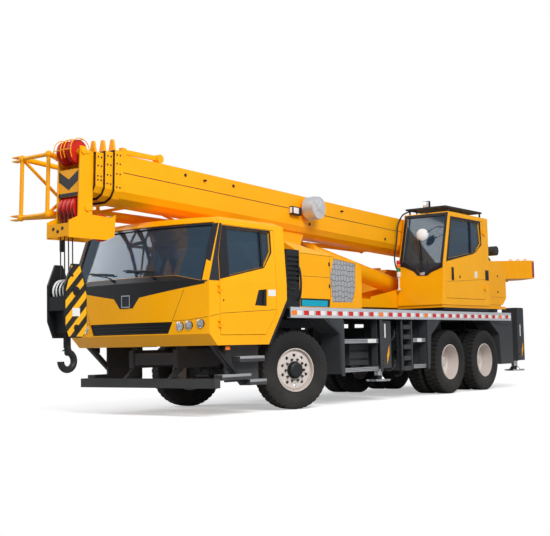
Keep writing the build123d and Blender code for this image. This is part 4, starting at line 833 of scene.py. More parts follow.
@dataclass
class Wheels:
    """Tyres in place of the plain ones, wheel nuts and hub caps on all three axles."""

    kingpin_x: float = 0.860
    front_x: float = 1.037
    rear_x: float = 0.917
    steer: float = math.radians(-21)
    rear_stations: tuple = (4.36, 5.71)
    twin_pitch: float = 0.330
    nut_circle: float = 0.150
    # from, to along the axle: where the nuts sit on the front and on the rear discs
    front_nut: tuple = (0.083, 0.112)
    rear_nut: tuple = (0.017, 0.048)

    def front_pose(self, side: int) -> Matrix:
        """Give the place of a front wheel, steered as parked."""
        pose = Matrix.Translation((side * self.kingpin_x, AXLE_Y, WHEEL_Z))
        pose = pose @ Matrix.Rotation(self.steer, 4, "Z")
        pose = pose @ Matrix.Translation((side * (self.front_x - self.kingpin_x), 0, 0))
        return pose if side > 0 else pose @ MIRROR

    def rear_pose(self, side: int, station: float) -> Matrix:
        """Give the place of a rear twin wheel."""
        pose = Matrix.Translation((side * self.rear_x, at(station), WHEEL_Z))
        return pose if side > 0 else pose @ MIRROR

    def nuts(self, span: tuple) -> bpy.types.Object:
        """Model ten wheel nuts with their studs about the X axis."""
        pieces = []
        for number in range(10):
            turn = Matrix.Rotation(math.radians(36 * number + 18), 4, "X")
            place = turn @ Vector((0, 0, self.nut_circle))
            start, end = Vector((span[0], *place[1:])), Vector((span[1], *place[1:]))
            pieces.append(bar("nut", start, end, 0.0165, 6, 0.002))
            pieces.append(bar("stud", end - Vector((0.004, 0, 0)), end + Vector((0.012, 0, 0)), 0.009, 10))
        return joined(pieces, "wheel_nuts")

    def cap(self) -> bpy.types.Object:
        """Model the dark cover of a hub."""
        profile = ((0.089, 0.121), (0.0965, 0.1205), (0.0970, 0.1040), (0.1505, 0.0985), (0.1590, 0.088),
                   (0.1615, 0.071), (0.1615, 0.0))
        return lathe("hub_cap", profile, (0, 0, 0), (1, 0, 0), 40)

    def rear_cap(self) -> bpy.types.Object:
        """Model the cover of a driven hub with its flange and drive bolts."""
        profile = ((0.0705, 0.121), (0.0890, 0.0975), (0.1505, 0.0855), (0.1595, 0.0610), (0.1595, 0.0))
        pieces = [lathe("hub_cap", profile, (0, 0, 0), (1, 0, 0), 40)]
        for number in range(8):
            place = Matrix.Rotation(math.radians(45 * number), 4, "X") @ Vector((0, 0, 0.048))
            pieces.append(bar("drive_bolt", (0.158, *place[1:]), (0.1665, *place[1:]), 0.009, 6))
        return joined(pieces, "rear_hub_cap")

    def place(self, pattern: bpy.types.Object, pose: Matrix, name: str, body: str,
              finish: str) -> bpy.types.Object:
        """Put a copy of a pattern piece in its place on a body."""
        twin = copied(pattern, pose, name)
        return fit_out([twin], name, body, finish)

    def build(self) -> None:
        """Build the wheels of both sides."""
        ribbed, lugged = Tyre(0.0865).build(), Tyre(0.0050).build()
        front_nuts, rear_nuts = self.nuts(self.front_nut), self.nuts(self.rear_nut)
        front_cap, rear_cap = self.cap(), self.rear_cap()
        half = self.twin_pitch / 2
        outer = copied(lugged, Matrix.Translation((half, 0, 0)), "outer")
        inner = copied(lugged, Matrix.Translation((-half, 0, 0)), "inner")
        twins = joined([outer, inner], "twin_tyres")
        for side, word in SIDES:
            body, pose = f"front_wheel_{word}", self.front_pose(side)
            tyre = self.place(ribbed, pose, f"road_tyre_front_{word}", body, "tyre rubber")
            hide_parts(f"front_tyre_{word}")
            self.place(front_nuts, pose, f"wheel_nuts_front_{word}", body, "greased steel")
            self.place(front_cap, pose, f"hub_cap_front_{word}", body, "black trim")
            for number, station in enumerate(self.rear_stations, start=2):
                body, pose = f"axle{number}_wheels_{word}", self.rear_pose(side, station)
                tyre = self.place(twins, pose, f"road_tyres_axle{number}_{word}", body, "tyre rubber")
                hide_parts(f"axle{number}_tyres_{word}")
                self.place(rear_nuts, pose, f"wheel_nuts_axle{number}_{word}", body, "greased steel")
                self.place(rear_cap, pose, f"hub_cap_axle{number}_{word}", body, "rim paint")
        for pattern in (ribbed, lugged, twins, front_nuts, rear_nuts, front_cap, rear_cap):
            bpy.data.objects.remove(pattern)


# ---------------------------------------------------------------- driver's cab
@dataclass
class CabFront:
    """The bowed front of the driver's cab, as a surface that pieces are draped over."""

    bow: float = 0.190
    # height, nose behind the cab's front, half width
    levels: tuple = ((0.905, 0.150, 1.250), (1.050, 0.0, 1.250), (1.725, 0.0, 1.250), (2.500, 0.285, 1.205),
                     (2.560, 0.415, 1.060))
    nose_y: float = -4.746

    def level(self, z: float) -> tuple[float, float]:
        """Give how far back the nose lies at a height, and the half width there."""
        for (z0, back0, half0), (z1, back1, half1) in zip(self.levels[:-1], self.levels[1:]):
            if z <= z1:
                share = (z - z0) / (z1 - z0)
                return back0 + share * (back1 - back0), half0 + share * (half1 - half0)
        return self.levels[-1][1:]

    def y(self, x: float, z: float) -> float:
        """Give the surface's place along the machine at (x, z)."""
        back, half = self.level(z)
        radius = (half * half + self.bow * self.bow) / (2 * self.bow)
        return self.nose_y + back + radius - math.sqrt(max(radius * radius - x * x, 0.0))

    def side_x(self, z: float) -> float:
        """Give the cab side's distance from the middle at a height."""
        return self.level(z)[1]

    def point(self, x: float, z: float, proud: float) -> tuple[float, float, float]:
        """Give a point that stands proud of the surface."""
        return x, self.y(x, z) - proud, z

    def drape(self, piece: bpy.types.Object, proud: float) -> bpy.types.Object:
        """Lay a flat panel, modelled at y = 0 and thickening forwards, over the bowed front.

        Args:
            piece: the flat panel.
            proud: how far its rear face stands off the surface.

        Returns:
            The draped panel.
        """
        take(piece)
        bpy.ops.object.mode_set(mode="EDIT")
        for step in range(-12, 13):
            bpy.ops.mesh.select_all(action="SELECT")
            bpy.ops.mesh.bisect(plane_co=(step * 0.1 + 0.003, 0, 0), plane_no=(1, 0, 0))
        bpy.ops.mesh.select_all(action="SELECT")
        bpy.ops.mesh.quads_convert_to_tris()
        bpy.ops.object.mode_set(mode="OBJECT")
        for vertex in piece.data.vertices:
            vertex.co.y += self.y(vertex.co.x, vertex.co.z) - proud
        return soften(piece, 0.0)

    def panel(self, name: str, outline: tuple, proud: float, thick: float) -> bpy.types.Object:
        """Model a panel from its (x, z) outline and lay it over the front."""
        return self.drape(slab(name, outline, Axis.Y, 0.0, -thick), proud)

    def seam(self, name: str, points: tuple, width: float = 0.004) -> bpy.types.Object:
        """Model a thin dark line along (x, z) points on the front."""
        pieces = []
        for (xa, za), (xb, zb) in zip(points[:-1], points[1:]):
            along = Vector((xb - xa, 0, zb - za)).normalized()
            across = Vector((-along.z, 0, along.x)) * width / 2
            outline = ((xa - across.x, za - across.z), (xb - across.x, zb - across.z),
                       (xb + across.x, zb + across.z), (xa + across.x, za + across.z))
            pieces.append(self.panel("seam", outline, 0.0, 0.0012))
        return joined(pieces, name)


@dataclass
class DriverCab:
    """Pillars, door glass and frames, lamps, wipers, seams and small fittings of the driver's cab."""

    front: CabFront = field(default_factory=CabFront)
    # station and height of the door's black area and of its window
    door_frame_outer: tuple = ((-1.843, 1.737), (-0.917, 1.918), (-0.735, 2.128), (-0.735, 2.428),
                               (-1.738, 2.428), (-1.843, 2.022))
    door_frame_inner: tuple = ((-1.660, 1.790), (-0.915, 1.935), (-0.760, 2.135), (-0.760, 2.400),
                               (-1.660, 2.400), (-1.660, 2.022))
    door_window: tuple = ((-1.664, 1.785), (-0.913, 1.931), (-0.756, 2.133), (-0.756, 2.404), (-1.664, 2.404))
    # station and height round the side pillar between windscreen and door
    pillar: tuple = ((-2.056, 1.716), (-1.858, 1.716), (-1.858, 2.018), (-1.747, 2.436), (-1.747, 2.452),
                     (-1.788, 2.452))
    # first and last station and height of the boarding steps
    steps: tuple = ((-1.435, -0.909, 0.720), (-1.793, -1.199, 0.495), (-1.232, -0.870, 0.415))
    # x and z of the lamps
    lamps: tuple = ((0.850, 1.152), (0.975, 1.162), (1.130, 1.178))

    def lean(self, piece: bpy.types.Object) -> bpy.types.Object:
        """Move a panel that was modelled at x = 0 out to the cab's leaning side."""
        for vertex in piece.data.vertices:
            vertex.co.x += self.front.side_x(vertex.co.z)
        return piece

    def side_panel(self, name: str, outline: tuple, start: float, thick: float) -> bpy.types.Object:
        """Model a panel on the cab's side from its (station, z) outline."""
        return self.lean(slab(name, stations(outline), Axis.X, start, thick))

    def build(self) -> None:
        """Build all the cab's fittings."""
        self.pillars()
        self.doors()
        self.lamp_row()
        self.wipers()
        self.seams()
        self.badge()
        self.step_dress()

    def pillars(self) -> None:
        """Model the black windscreen pillars, the side pillars and the header."""
        strip = ((1.147, 1.700), (1.226, 1.700), (1.200, 2.452), (1.126, 2.452))
        front = self.front.panel("pillar_strip", strip, -0.002, 0.008)
        side = self.side_panel("pillar_side", self.pillar, -0.002, 0.006)
        left = joined([front, side], "pillar_left")
        right = copied(left, MIRROR, "pillar_right")
        header = ((-1.128, 2.436), (1.128, 2.436), (1.120, 2.462), (-1.120, 2.462))
        pieces = [left, right, self.front.panel("header", header, 0.0, 0.006)]
        fit_out(pieces, "cab_black_pillars", "chassis", "gloss black panel")
        visor = ((-1.150, 2.468), (1.150, 2.468), (1.135, 2.500), (-1.135, 2.500))
        fit_out([self.front.panel("visor", visor, 0.0, 0.020)], "cab_roof_visor", "chassis", "cab paint")

    def doors(self) -> None:
        """Model the window frame, glass, handle with a black plate of painted shade in its recess, and seam
        of both doors.
        """
        frame_piece = self.lean(frame_slab("door_frame", stations(self.door_frame_outer),
                                           stations(self.door_frame_inner), Axis.X, -0.002, 0.006))
        post = self.side_panel("post", ((-0.965, 1.927), (-0.925, 1.934), (-0.925, 2.404), (-0.965, 2.404)),
                               -0.040, 0.036)
        glass = self.side_panel("door_glass", self.door_window, -0.030, 0.005)
        # black plate in the handle recess: painted shade of the recess, in black trim
        recess_shade = self.side_panel("handle_recess_shade",
                               ((-1.141, 1.415), (-0.883, 1.410), (-0.875, 1.634), (-1.056, 1.619)),
                               -0.0139, 0.002)
        grip = self.side_panel("grip", ((-0.958, 1.422), (-0.902, 1.422), (-0.897, 1.615), (-0.943, 1.615)),
                               -0.010, 0.011)
        lock = bar("lock", (1.249, at(-1.78), 1.470), (1.254, at(-1.78), 1.470), 0.012, 16)
        seam = self.side_panel("seam", ((-1.840, 1.303), (-0.675, 1.363), (-0.675, 1.368), (-1.840, 1.308)),
                               0.0, 0.0012)
        label = self.side_panel("label", ((-0.846, 1.545), (-0.684, 1.548), (-0.684, 1.632), (-0.846, 1.629)),
                                0.0, 0.0012)
        left = ((joined([frame_piece, post, recess_shade, grip, lock, seam], "trim"), "trim", "black trim"),
                (glass, "glass", "window glass"), (label, "label", "label white"))
        for piece, word, finish in left:
            twin = copied(piece, MIRROR, "twin")
            fit_out([piece], f"cab_door_{word}_left", "door_left", finish)
            fit_out([twin], f"cab_door_{word}_right", "door_right", finish)

    def lamp_row(self) -> None:
        """Model lenses and rims of the six round headlamps."""
        lenses, rims, cores = [], [], []
        for side in SIGNS:
            for number, (x, z) in enumerate(self.lamps):
                y = self.front.nose_y + 0.190 * (x / 1.25) ** 2 - 0.008
                profile = ((0.0, 0.051), (0.006, 0.050), (0.012, 0.038), (0.016, 0.020), (0.017, 0.0))
                lenses.append(lathe("lens", profile, (side * x, y - 0.001, z), (0, -1, 0), 32))
                rims.append(ring("rim", (side * x, y - 0.002, z), (0, 1, 0), 0.0535, 0.0045))
                cores.append(bar("core", (side * x, y + 0.001, z), (side * x, y - 0.004, z),
                                 0.046 if number == 0 else 0.024, 24))
        fit_out(lenses, "headlamp_lenses", "chassis", "lamp lens")
        fit_out(rims, "headlamp_rims", "chassis", "bright steel")
        fit_out(cores, "headlamp_reflectors", "chassis", "lamp silver")

    def wipers(self) -> None:
        """Model the two wipers parked along the windscreen's lower edge."""
        pieces = []
        # pivot, elbow and blade ends as (x, z)
        for pivot, elbow, tip, blade in (((0.470, 1.775), (0.330, 1.850), (-0.020, 1.905), (0.330, 1.868)),
                                         ((-0.250, 1.775), (-0.420, 1.850), (-0.760, 1.905),
                                          (-0.400, 1.868))):
            base = self.front.point(*pivot, 0.0)
            pieces.append(bar("hub", base, self.front.point(*pivot, 0.035), 0.018, 16, 0.003))
            pieces.append(bar("arm", self.front.point(*pivot, 0.028), self.front.point(*elbow, 0.034), 0.008,
                              10))
            pieces.append(bar("arm", self.front.point(*elbow, 0.034), self.front.point(*tip, 0.030), 0.006,
                              10))
            ends = [(blade[0] + 0.14, blade[1] - 0.012), (blade[0] - 0.12, blade[1] + 0.012),
                    (blade[0] - 0.42, blade[1] + 0.030)]
            for first, second in zip(ends[:-1], ends[1:]):
                pieces.append(bar("blade", self.front.point(*first, 0.013), self.front.point(*second, 0.013),
                                  0.009, 8))
        fit_out(pieces, "windscreen_wipers", "chassis", "black trim")

    def seams(self) -> None:
        """Model the panel joints of the cab's front and its lower corners."""
        pieces = []
        for side in SIGNS:
            upright = tuple((side * x, z) for x, z in ((0.915, 1.609), (0.742, 1.222)))
            level = tuple((side * x, z) for x, z in ((0.742, 1.222), (0.950, 1.226), (1.235, 1.262)))
            pieces += [self.front.seam("seam", upright), self.front.seam("seam", level)]
        corner = self.side_panel("seam", ((-2.058, 1.262), (-1.860, 1.297), (-1.860, 1.302), (-2.058, 1.267)),
                                 0.0, 0.0012)
        pieces += [corner, copied(corner, MIRROR, "seam")]
        fit_out(pieces, "cab_panel_seams", "chassis", "black trim")

    def badge(self) -> None:
        """Model the blank badge with its bright border on the black panel."""
        outer = ((-0.078, 1.412), (0.078, 1.412), (0.078, 1.572), (-0.078, 1.572))
        inner = ((-0.064, 1.426), (0.064, 1.426), (0.064, 1.558), (-0.064, 1.558))
        border = self.front.drape(frame_slab("border", outer, inner, Axis.Y, 0.0, -0.010), 0.0)
        fit_out([border], "badge_border", "chassis", "bright steel")
        fit_out([self.front.panel("face", inner, 0.0, 0.004)], "badge_face", "chassis", "gloss black panel")

    def step_dress(self) -> None:
        """Model the side marker lamps, the dark struts and the treads of the boarding steps."""
        strut = stations(((-1.880, 0.905), (-1.800, 0.905), (-1.195, 0.400), (-1.275, 0.400)))
        markers, darks, treads = [], [], []
        for side in SIGNS:
            markers.append(side_box("marker", side, (1.196, 1.214), (at(-1.715), at(-1.620)), (0.842, 0.890),
                                    0.006))
            darks.append(slab("strut", strut, Axis.X, side * 1.122, side * 0.030, 0.004))
            darks.append(side_box("bracket", side, (1.150, 1.212), (at(-1.720), at(-1.615)), (0.830, 0.904),
                                  0.004))
            for first, last, z in self.steps:
                along = (at(first) + 0.006, at(last) - 0.006)
                treads.append(side_box("tread", side, (1.084, 1.217), along, (z + 0.0352, z + 0.0385), 0.001))
                treads.append(side_box("edge", side, (1.2155, 1.2185), along, (z + 0.005, z + 0.0385), 0.001))
        fit_out(treads, "cab_step_treads", "chassis", "step alloy")
        fit_out(markers, "side_markers", "chassis", "lamp amber")
        fit_out(darks, "step_struts", "chassis", "black trim")


# ---------------------------------------------------------------- hood and deck
@dataclass
class HoodDress:
    """Sunk panels, blank plates, seams and the black columns' fittings behind the cab."""

    side_x: float = 1.180
    panel: tuple = ((0.795, 1.498), (1.335, 1.509), (1.413, 1.702), (1.433, 2.089), (0.841, 2.137),
                    (0.746, 1.877))
    plate: tuple = ((-0.018, 1.426), (0.714, 1.426), (0.733, 1.538), (-0.018, 1.538))
    face: tuple = ((0.020, 1.430), (0.655, 1.430), (0.668, 1.516), (0.020, 1.516))

    def strip(self, low: tuple, high: tuple, width: float = 0.004) -> bpy.types.Object:
        """Model a thin dark joint line on the hood's side between two (station, z) points."""
        outline = stations(((low[0], low[1]), (high[0], high[1]), (high[0], high[1] + width),
                            (low[0], low[1] + width)))
        return slab("joint", outline, Axis.X, self.side_x, 0.0012)

    def build(self) -> None:
        """Build the fittings of both sides."""
        x = self.side_x
        cobbles = slab("cobbles", stations(self.panel), Axis.X, x - 0.0118, 0.006)
        border = slab("border", stations(self.plate), Axis.X, x - 0.0118, 0.008)
        face = slab("face", stations(self.face), Axis.X, x - 0.0036, 0.003)
        lines = [self.strip((-0.030, 1.850), (0.740, 1.852)), self.strip((-0.030, 2.172), (0.820, 2.160)),
                 slab("joint", stations(((0.736, 1.560), (0.741, 1.560), (0.741, 2.150), (0.736, 2.150))),
                      Axis.X, x, 0.0012)]
        for z in (1.700, 2.020):
            lines.append(box("latch", (x, at(0.700), z), (x + 0.010, at(0.728), z + 0.055), 0.003))
        handles = self.column_rails()
        for pieces, name, finish in (([cobbles], "hood_sunk_panels", "hood panel grey"),
                                     ([border], "hood_plate_borders", "black trim"),
                                     ([face], "hood_blank_plates", "plate cyan"),
                                     (lines, "hood_joints", "black trim"),
                                     (handles, "column_grab_rails", "black trim")):
            both = pieces + [copied(piece, MIRROR, "twin") for piece in pieces]
            fit_out(both, name, "chassis", finish)

    def column_rails(self) -> list:
        """Model the grab rail and the ribs on the black column of one side."""
        pieces = [hose("rail", ((1.225, at(-0.150), 1.500), (1.262, at(-0.150), 1.530),
                                (1.262, at(-0.150), 1.960), (1.225, at(-0.150), 1.990)), 0.014)]
        for z in (1.560, 1.640, 1.720):
            pieces.append(box("rib", (1.225, at(-0.370), z), (1.233, at(-0.200), z + 0.030), 0.004))
        return pieces


@dataclass
class DeckDress:
    """Light skirt with its red and white markers, marker lamps and tread plate of the deck."""

    half: float = 1.250
    first: float = -0.354
    last: float = 6.800
    skirt: tuple = (1.264, 1.409)
    mark: tuple = (1.300, 1.362)
    # bottom and top of the thin tread plates
    tread: tuple = (1.4098, 1.4125)
    squares: int = 25
    # which squares are lamps in place of red marks
    lamps: tuple = (0, 8, 13, 23)
    # first and last station of the wide tread plates
    walks: tuple = ((1.68, 3.02), (3.10, 4.10), (5.95, 6.76))

    def build(self) -> None:
        """Build the skirts of both sides and the walkways' tread plates."""
        skirts, reds, whites, ambers, treads = [], [], [], [], []
        pitch = (self.last - self.first) / self.squares
        face, front = (self.half, self.half + 0.002), (self.half + 0.002, self.half + 0.0035)
        for side in SIGNS:
            skirts.append(side_box("skirt", side, face, (at(self.first + 0.004), at(self.last - 0.004)),
                                   self.skirt))
            for number in range(self.squares):
                start = at(self.first + (number + 0.1) * pitch)
                middle, end = start + pitch * 0.42, start + pitch * 0.84
                group = ambers if number in self.lamps else reds
                group.append(side_box("mark", side, front, (start, middle), self.mark))
                whites.append(side_box("mark", side, front, (middle, end), self.mark))
        for side in SIGNS:
            treads.append(side_box("tread", side, (1.190, 1.244), (at(0.02), at(1.56)), self.tread))
            for start, end in self.walks:
                treads.append(side_box("tread", side, (0.700, 1.244), (at(start), at(end)), self.tread))
        fit_out(skirts, "deck_skirts", "chassis", "skirt silver")
        fit_out(reds, "deck_markers_red", "chassis", "marker red")
        fit_out(whites, "deck_markers_white", "chassis", "label white")
        fit_out(ambers, "deck_marker_lamps", "chassis", "lamp amber")
        fit_out(treads, "deck_tread_plates", "chassis", "deck alloy")


@dataclass
class UnderDeck:
    """Brackets, step faces, U-bolts, bottles, filler caps and lamps below the deck."""

    # first and last station of the step rows, and of the blank labels on their upper treads
    rows: tuple = ((0.990, 1.975), (3.035, 3.480))
    labels: tuple = ((1.660, 1.900), (3.180, 3.330))
    treads: tuple = (0.500, 0.925)
    # station and z of the corners of each folded plate that hangs from the skirt
    plates: tuple = (((0.520, 1.268), (0.960, 1.268), (0.985, 1.150), (0.985, 0.420), (0.900, 0.420),
                      (0.885, 1.040), (0.620, 1.190)),
                     ((3.500, 1.268), (3.960, 1.268), (3.830, 1.190), (3.600, 1.060), (3.560, 0.450),
                      (3.490, 0.450), (3.490, 1.150)),
                     ((1.985, 1.268), (2.060, 1.268), (2.060, 0.450), (1.985, 0.450)),
                     ((5.900, 1.268), (6.790, 1.268), (6.790, 1.190), (6.300, 1.190), (6.050, 1.230)))
    ladder_rails: tuple = (2.700, 3.010)
    # x and z round the strap of the fuel tank
    strap: tuple = ((-1.078, 0.556), (-1.014, 0.492), (-0.616, 0.492), (-0.616, 0.500), (-1.010, 0.500),
                    (-1.070, 0.560), (-1.070, 1.060), (-1.010, 1.120), (-0.620, 1.120), (-0.620, 1.128),
                    (-1.014, 1.128), (-1.078, 1.064))
    # stations of the axles
    axles: tuple = (0.0, 4.36, 5.71)
    spring_x: float = 0.400

    def build(self) -> None:
        """Build everything below the deck."""
        self.step_faces()
        self.brackets()
        self.springs()
        self.tanks()
        self.rear_lamps()

    def step_faces(self) -> None:
        """Model bright faces with dark end caps on the side steps, and their blank labels."""
        alloys, ends, labels = [], [], []
        for first, last in self.rows:
            for side in SIGNS:
                for z in self.treads:
                    for k in (-1, 0, 1):
                        middle = z + k * 0.022
                        alloys.append(side_box("rib", side, (1.215, 1.221),
                                               (at(first + 0.02), at(last - 0.02)),
                                               (middle - 0.008, middle + 0.008), 0.002))
                    for y in (at(first), at(last - 0.012)):
                        ends.append(side_box("end", side, (1.085, 1.222), (y - 0.002, y + 0.014),
                                             (z - 0.040, z + 0.040), 0.003))
        for side in SIGNS:
            for first, last in self.labels:
                labels.append(side_box("label", side, (1.221, 1.2225), (at(first), at(last)), (0.895, 0.955)))
        fit_out(alloys, "step_ribs", "chassis", "step alloy")
        fit_out(ends, "step_ends", "chassis", "frame grey")
        fit_out(labels, "step_labels", "chassis", "label white")

    def brackets(self) -> None:
        """Model the folded plates that hang from the skirt, the ladders' rails and the arch liners."""
        pieces = []
        for outline in self.plates:
            piece = slab("plate", stations(outline), Axis.X, 1.2355, 0.008, 0.002)
            pieces += [piece, copied(piece, MIRROR, "plate")]
        for side in SIGNS:
            for station in self.ladder_rails:
                y = at(station)
                pieces.append(side_box("ladder_rail", side, (1.195, 1.222), (y - 0.020, y + 0.020),
                                       (0.450, 1.262), 0.006))
            pieces.append(side_box("liner", side, (0.600, 0.606), (at(-0.600), at(1.950)), (1.135, 1.262)))
        fit_out(pieces, "skirt_brackets", "chassis", "frame grey")

    def springs(self) -> None:
        """Model clips and U-bolts on all the leaf packs, and the front dampers."""
        irons, tubes = [], []
        for side in SIGNS:
            x = side * self.spring_x
            # middle of the leaf pack, from it to each clip, height
            for station, span, z in ((0.0, 0.30, 0.66), (5.035, 0.36, 0.708)):
                for y in (at(station - span), at(station + span)):
                    irons.append(box("clip", (x - 0.047, y - 0.02, z - 0.06),
                                     (x + 0.047, y + 0.02, z + 0.06)))
            for station in self.axles:
                top = 0.66 if station == 0.0 else 0.735
                for y in (at(station) - 0.085, at(station) + 0.085):
                    for bolt_x in (x - 0.055, x + 0.055):
                        irons.append(bar("bolt", (bolt_x, y, 0.44), (bolt_x, y, top), 0.011, 10))
                        irons.append(bar("nut", (bolt_x, y, 0.445), (bolt_x, y, 0.470), 0.019, 6))
            bend = (side * 0.50, at(-0.22))
            tubes.append(bar("damper", (*bend, 0.60), (side * 0.46, at(-0.30), 0.98), 0.034, 20, 0.004))
            tubes.append(bar("damper_rod", (side * 0.504, at(-0.212), 0.52), (*bend, 0.62), 0.018, 14))
        fit_out(irons, "spring_clips", "chassis", "cast iron")
        fit_out(tubes, "front_dampers", "chassis", "black trim")

    def tanks(self) -> None:
        """Model caps, straps, battery lid and air bottle bands."""
        darks = [bar("cap", (-0.80, at(1.20), 1.115), (-0.80, at(1.20), 1.165), 0.055, 28, 0.006),
                 box("battery_lid", (0.550, at(1.410), 0.880), (1.050, at(1.970), 0.915), 0.010)]
        for z in (0.640, 0.760):
            darks.append(box("battery_rib", (1.040, at(1.440), z), (1.048, at(1.940), z + 0.03), 0.004))
        brights = [slab("strap", self.strap, Axis.Y, at(station), 0.05) for station in (1.15, 1.76)]
        for x, z in ((0.700, 1.050), (0.700, 0.560)):
            for station in (3.12, 3.37):
                brights.append(ring("band", (x, at(station), z), (0, 1, 0), 0.1315, 0.004, (40, 6)))
            darks.append(bar("port", (x, at(3.44), z), (x, at(3.462), z), 0.022, 14, 0.003))
        fit_out(darks, "tank_fittings", "chassis", "black trim")
        fit_out(brights, "tank_straps", "chassis", "bright steel")

    def rear_lamps(self) -> None:
        """Model the three lenses of each tail lamp."""
        y = at(7.480) + 0.130
        # name, nearest and farthest distance from the middle, finish
        for name, across, finish in (("tail_lenses_clear", (0.775, 0.885), "lamp lens"),
                                     ("tail_lenses_red", (0.895, 1.005), "lamp red"),
                                     ("tail_lenses_amber", (1.015, 1.110), "lamp amber")):
            lenses = [side_box("lens", side, across, (y - 0.002, y + 0.010), (0.735, 0.855), 0.006)
                      for side in SIGNS]
            fit_out(lenses, name, "chassis", finish)


@dataclass
class OutriggerDress:
    """Stripes, blank plates, covers and locks on the outriggers' jack boxes."""

    half: float = 0.150
    # name, left station, right station, top of the box
    places: tuple = (("front", 2.225, 2.519, 1.235), ("rear", 7.320, 7.026, 1.510))

    def build(self) -> None:
        """Build the fittings of all four."""
        for place, left, right, top in self.places:
            for side, word in SIDES:
                y = at(left if side > 0 else right)
                self.one(place, word, side, y, top)

    def one(self, place: str, word: str, side: int, y: float, top: float) -> None:
        """Build the fittings of one jack box."""
        body = f"outrigger_{place}_{word}"
        outer = 1.205
        stripe = slab("stripe", ((y + 0.020, 0.560), (y + 0.090, 0.720), (y + 0.090, 0.860),
                                 (y + 0.020, 0.700)),
                      Axis.X, outer, 0.002)
        plate = slab("plate", ((y - 0.045, 0.970), (y - 0.010, 0.970), (y - 0.010, 1.190),
                               (y - 0.045, 1.190)),
                     Axis.X, outer, 0.002)
        darks = [box("cover", (0.900, y - 0.145, top), (1.195, y + 0.145, top + 0.010), 0.004),
                 bar("gland", (1.0475, y, 0.488), (1.0475, y, 0.502), 0.085, 32, 0.003)]
        for dz in (0.54, 0.62):
            darks.append(bar("pin", (outer, y - 0.100, dz), (outer + 0.018, y - 0.100, dz), 0.012, 12, 0.002))
        for pieces, name, finish in (([stripe], "stripe", "amber paint"), ([plate], "plate", "label white"),
                                     (darks, "covers", "frame grey")):
            if side < 0:
                pieces = [swap(piece, MIRROR) for piece in pieces]
            fit_out(pieces, f"{body}_{name}", body, finish)


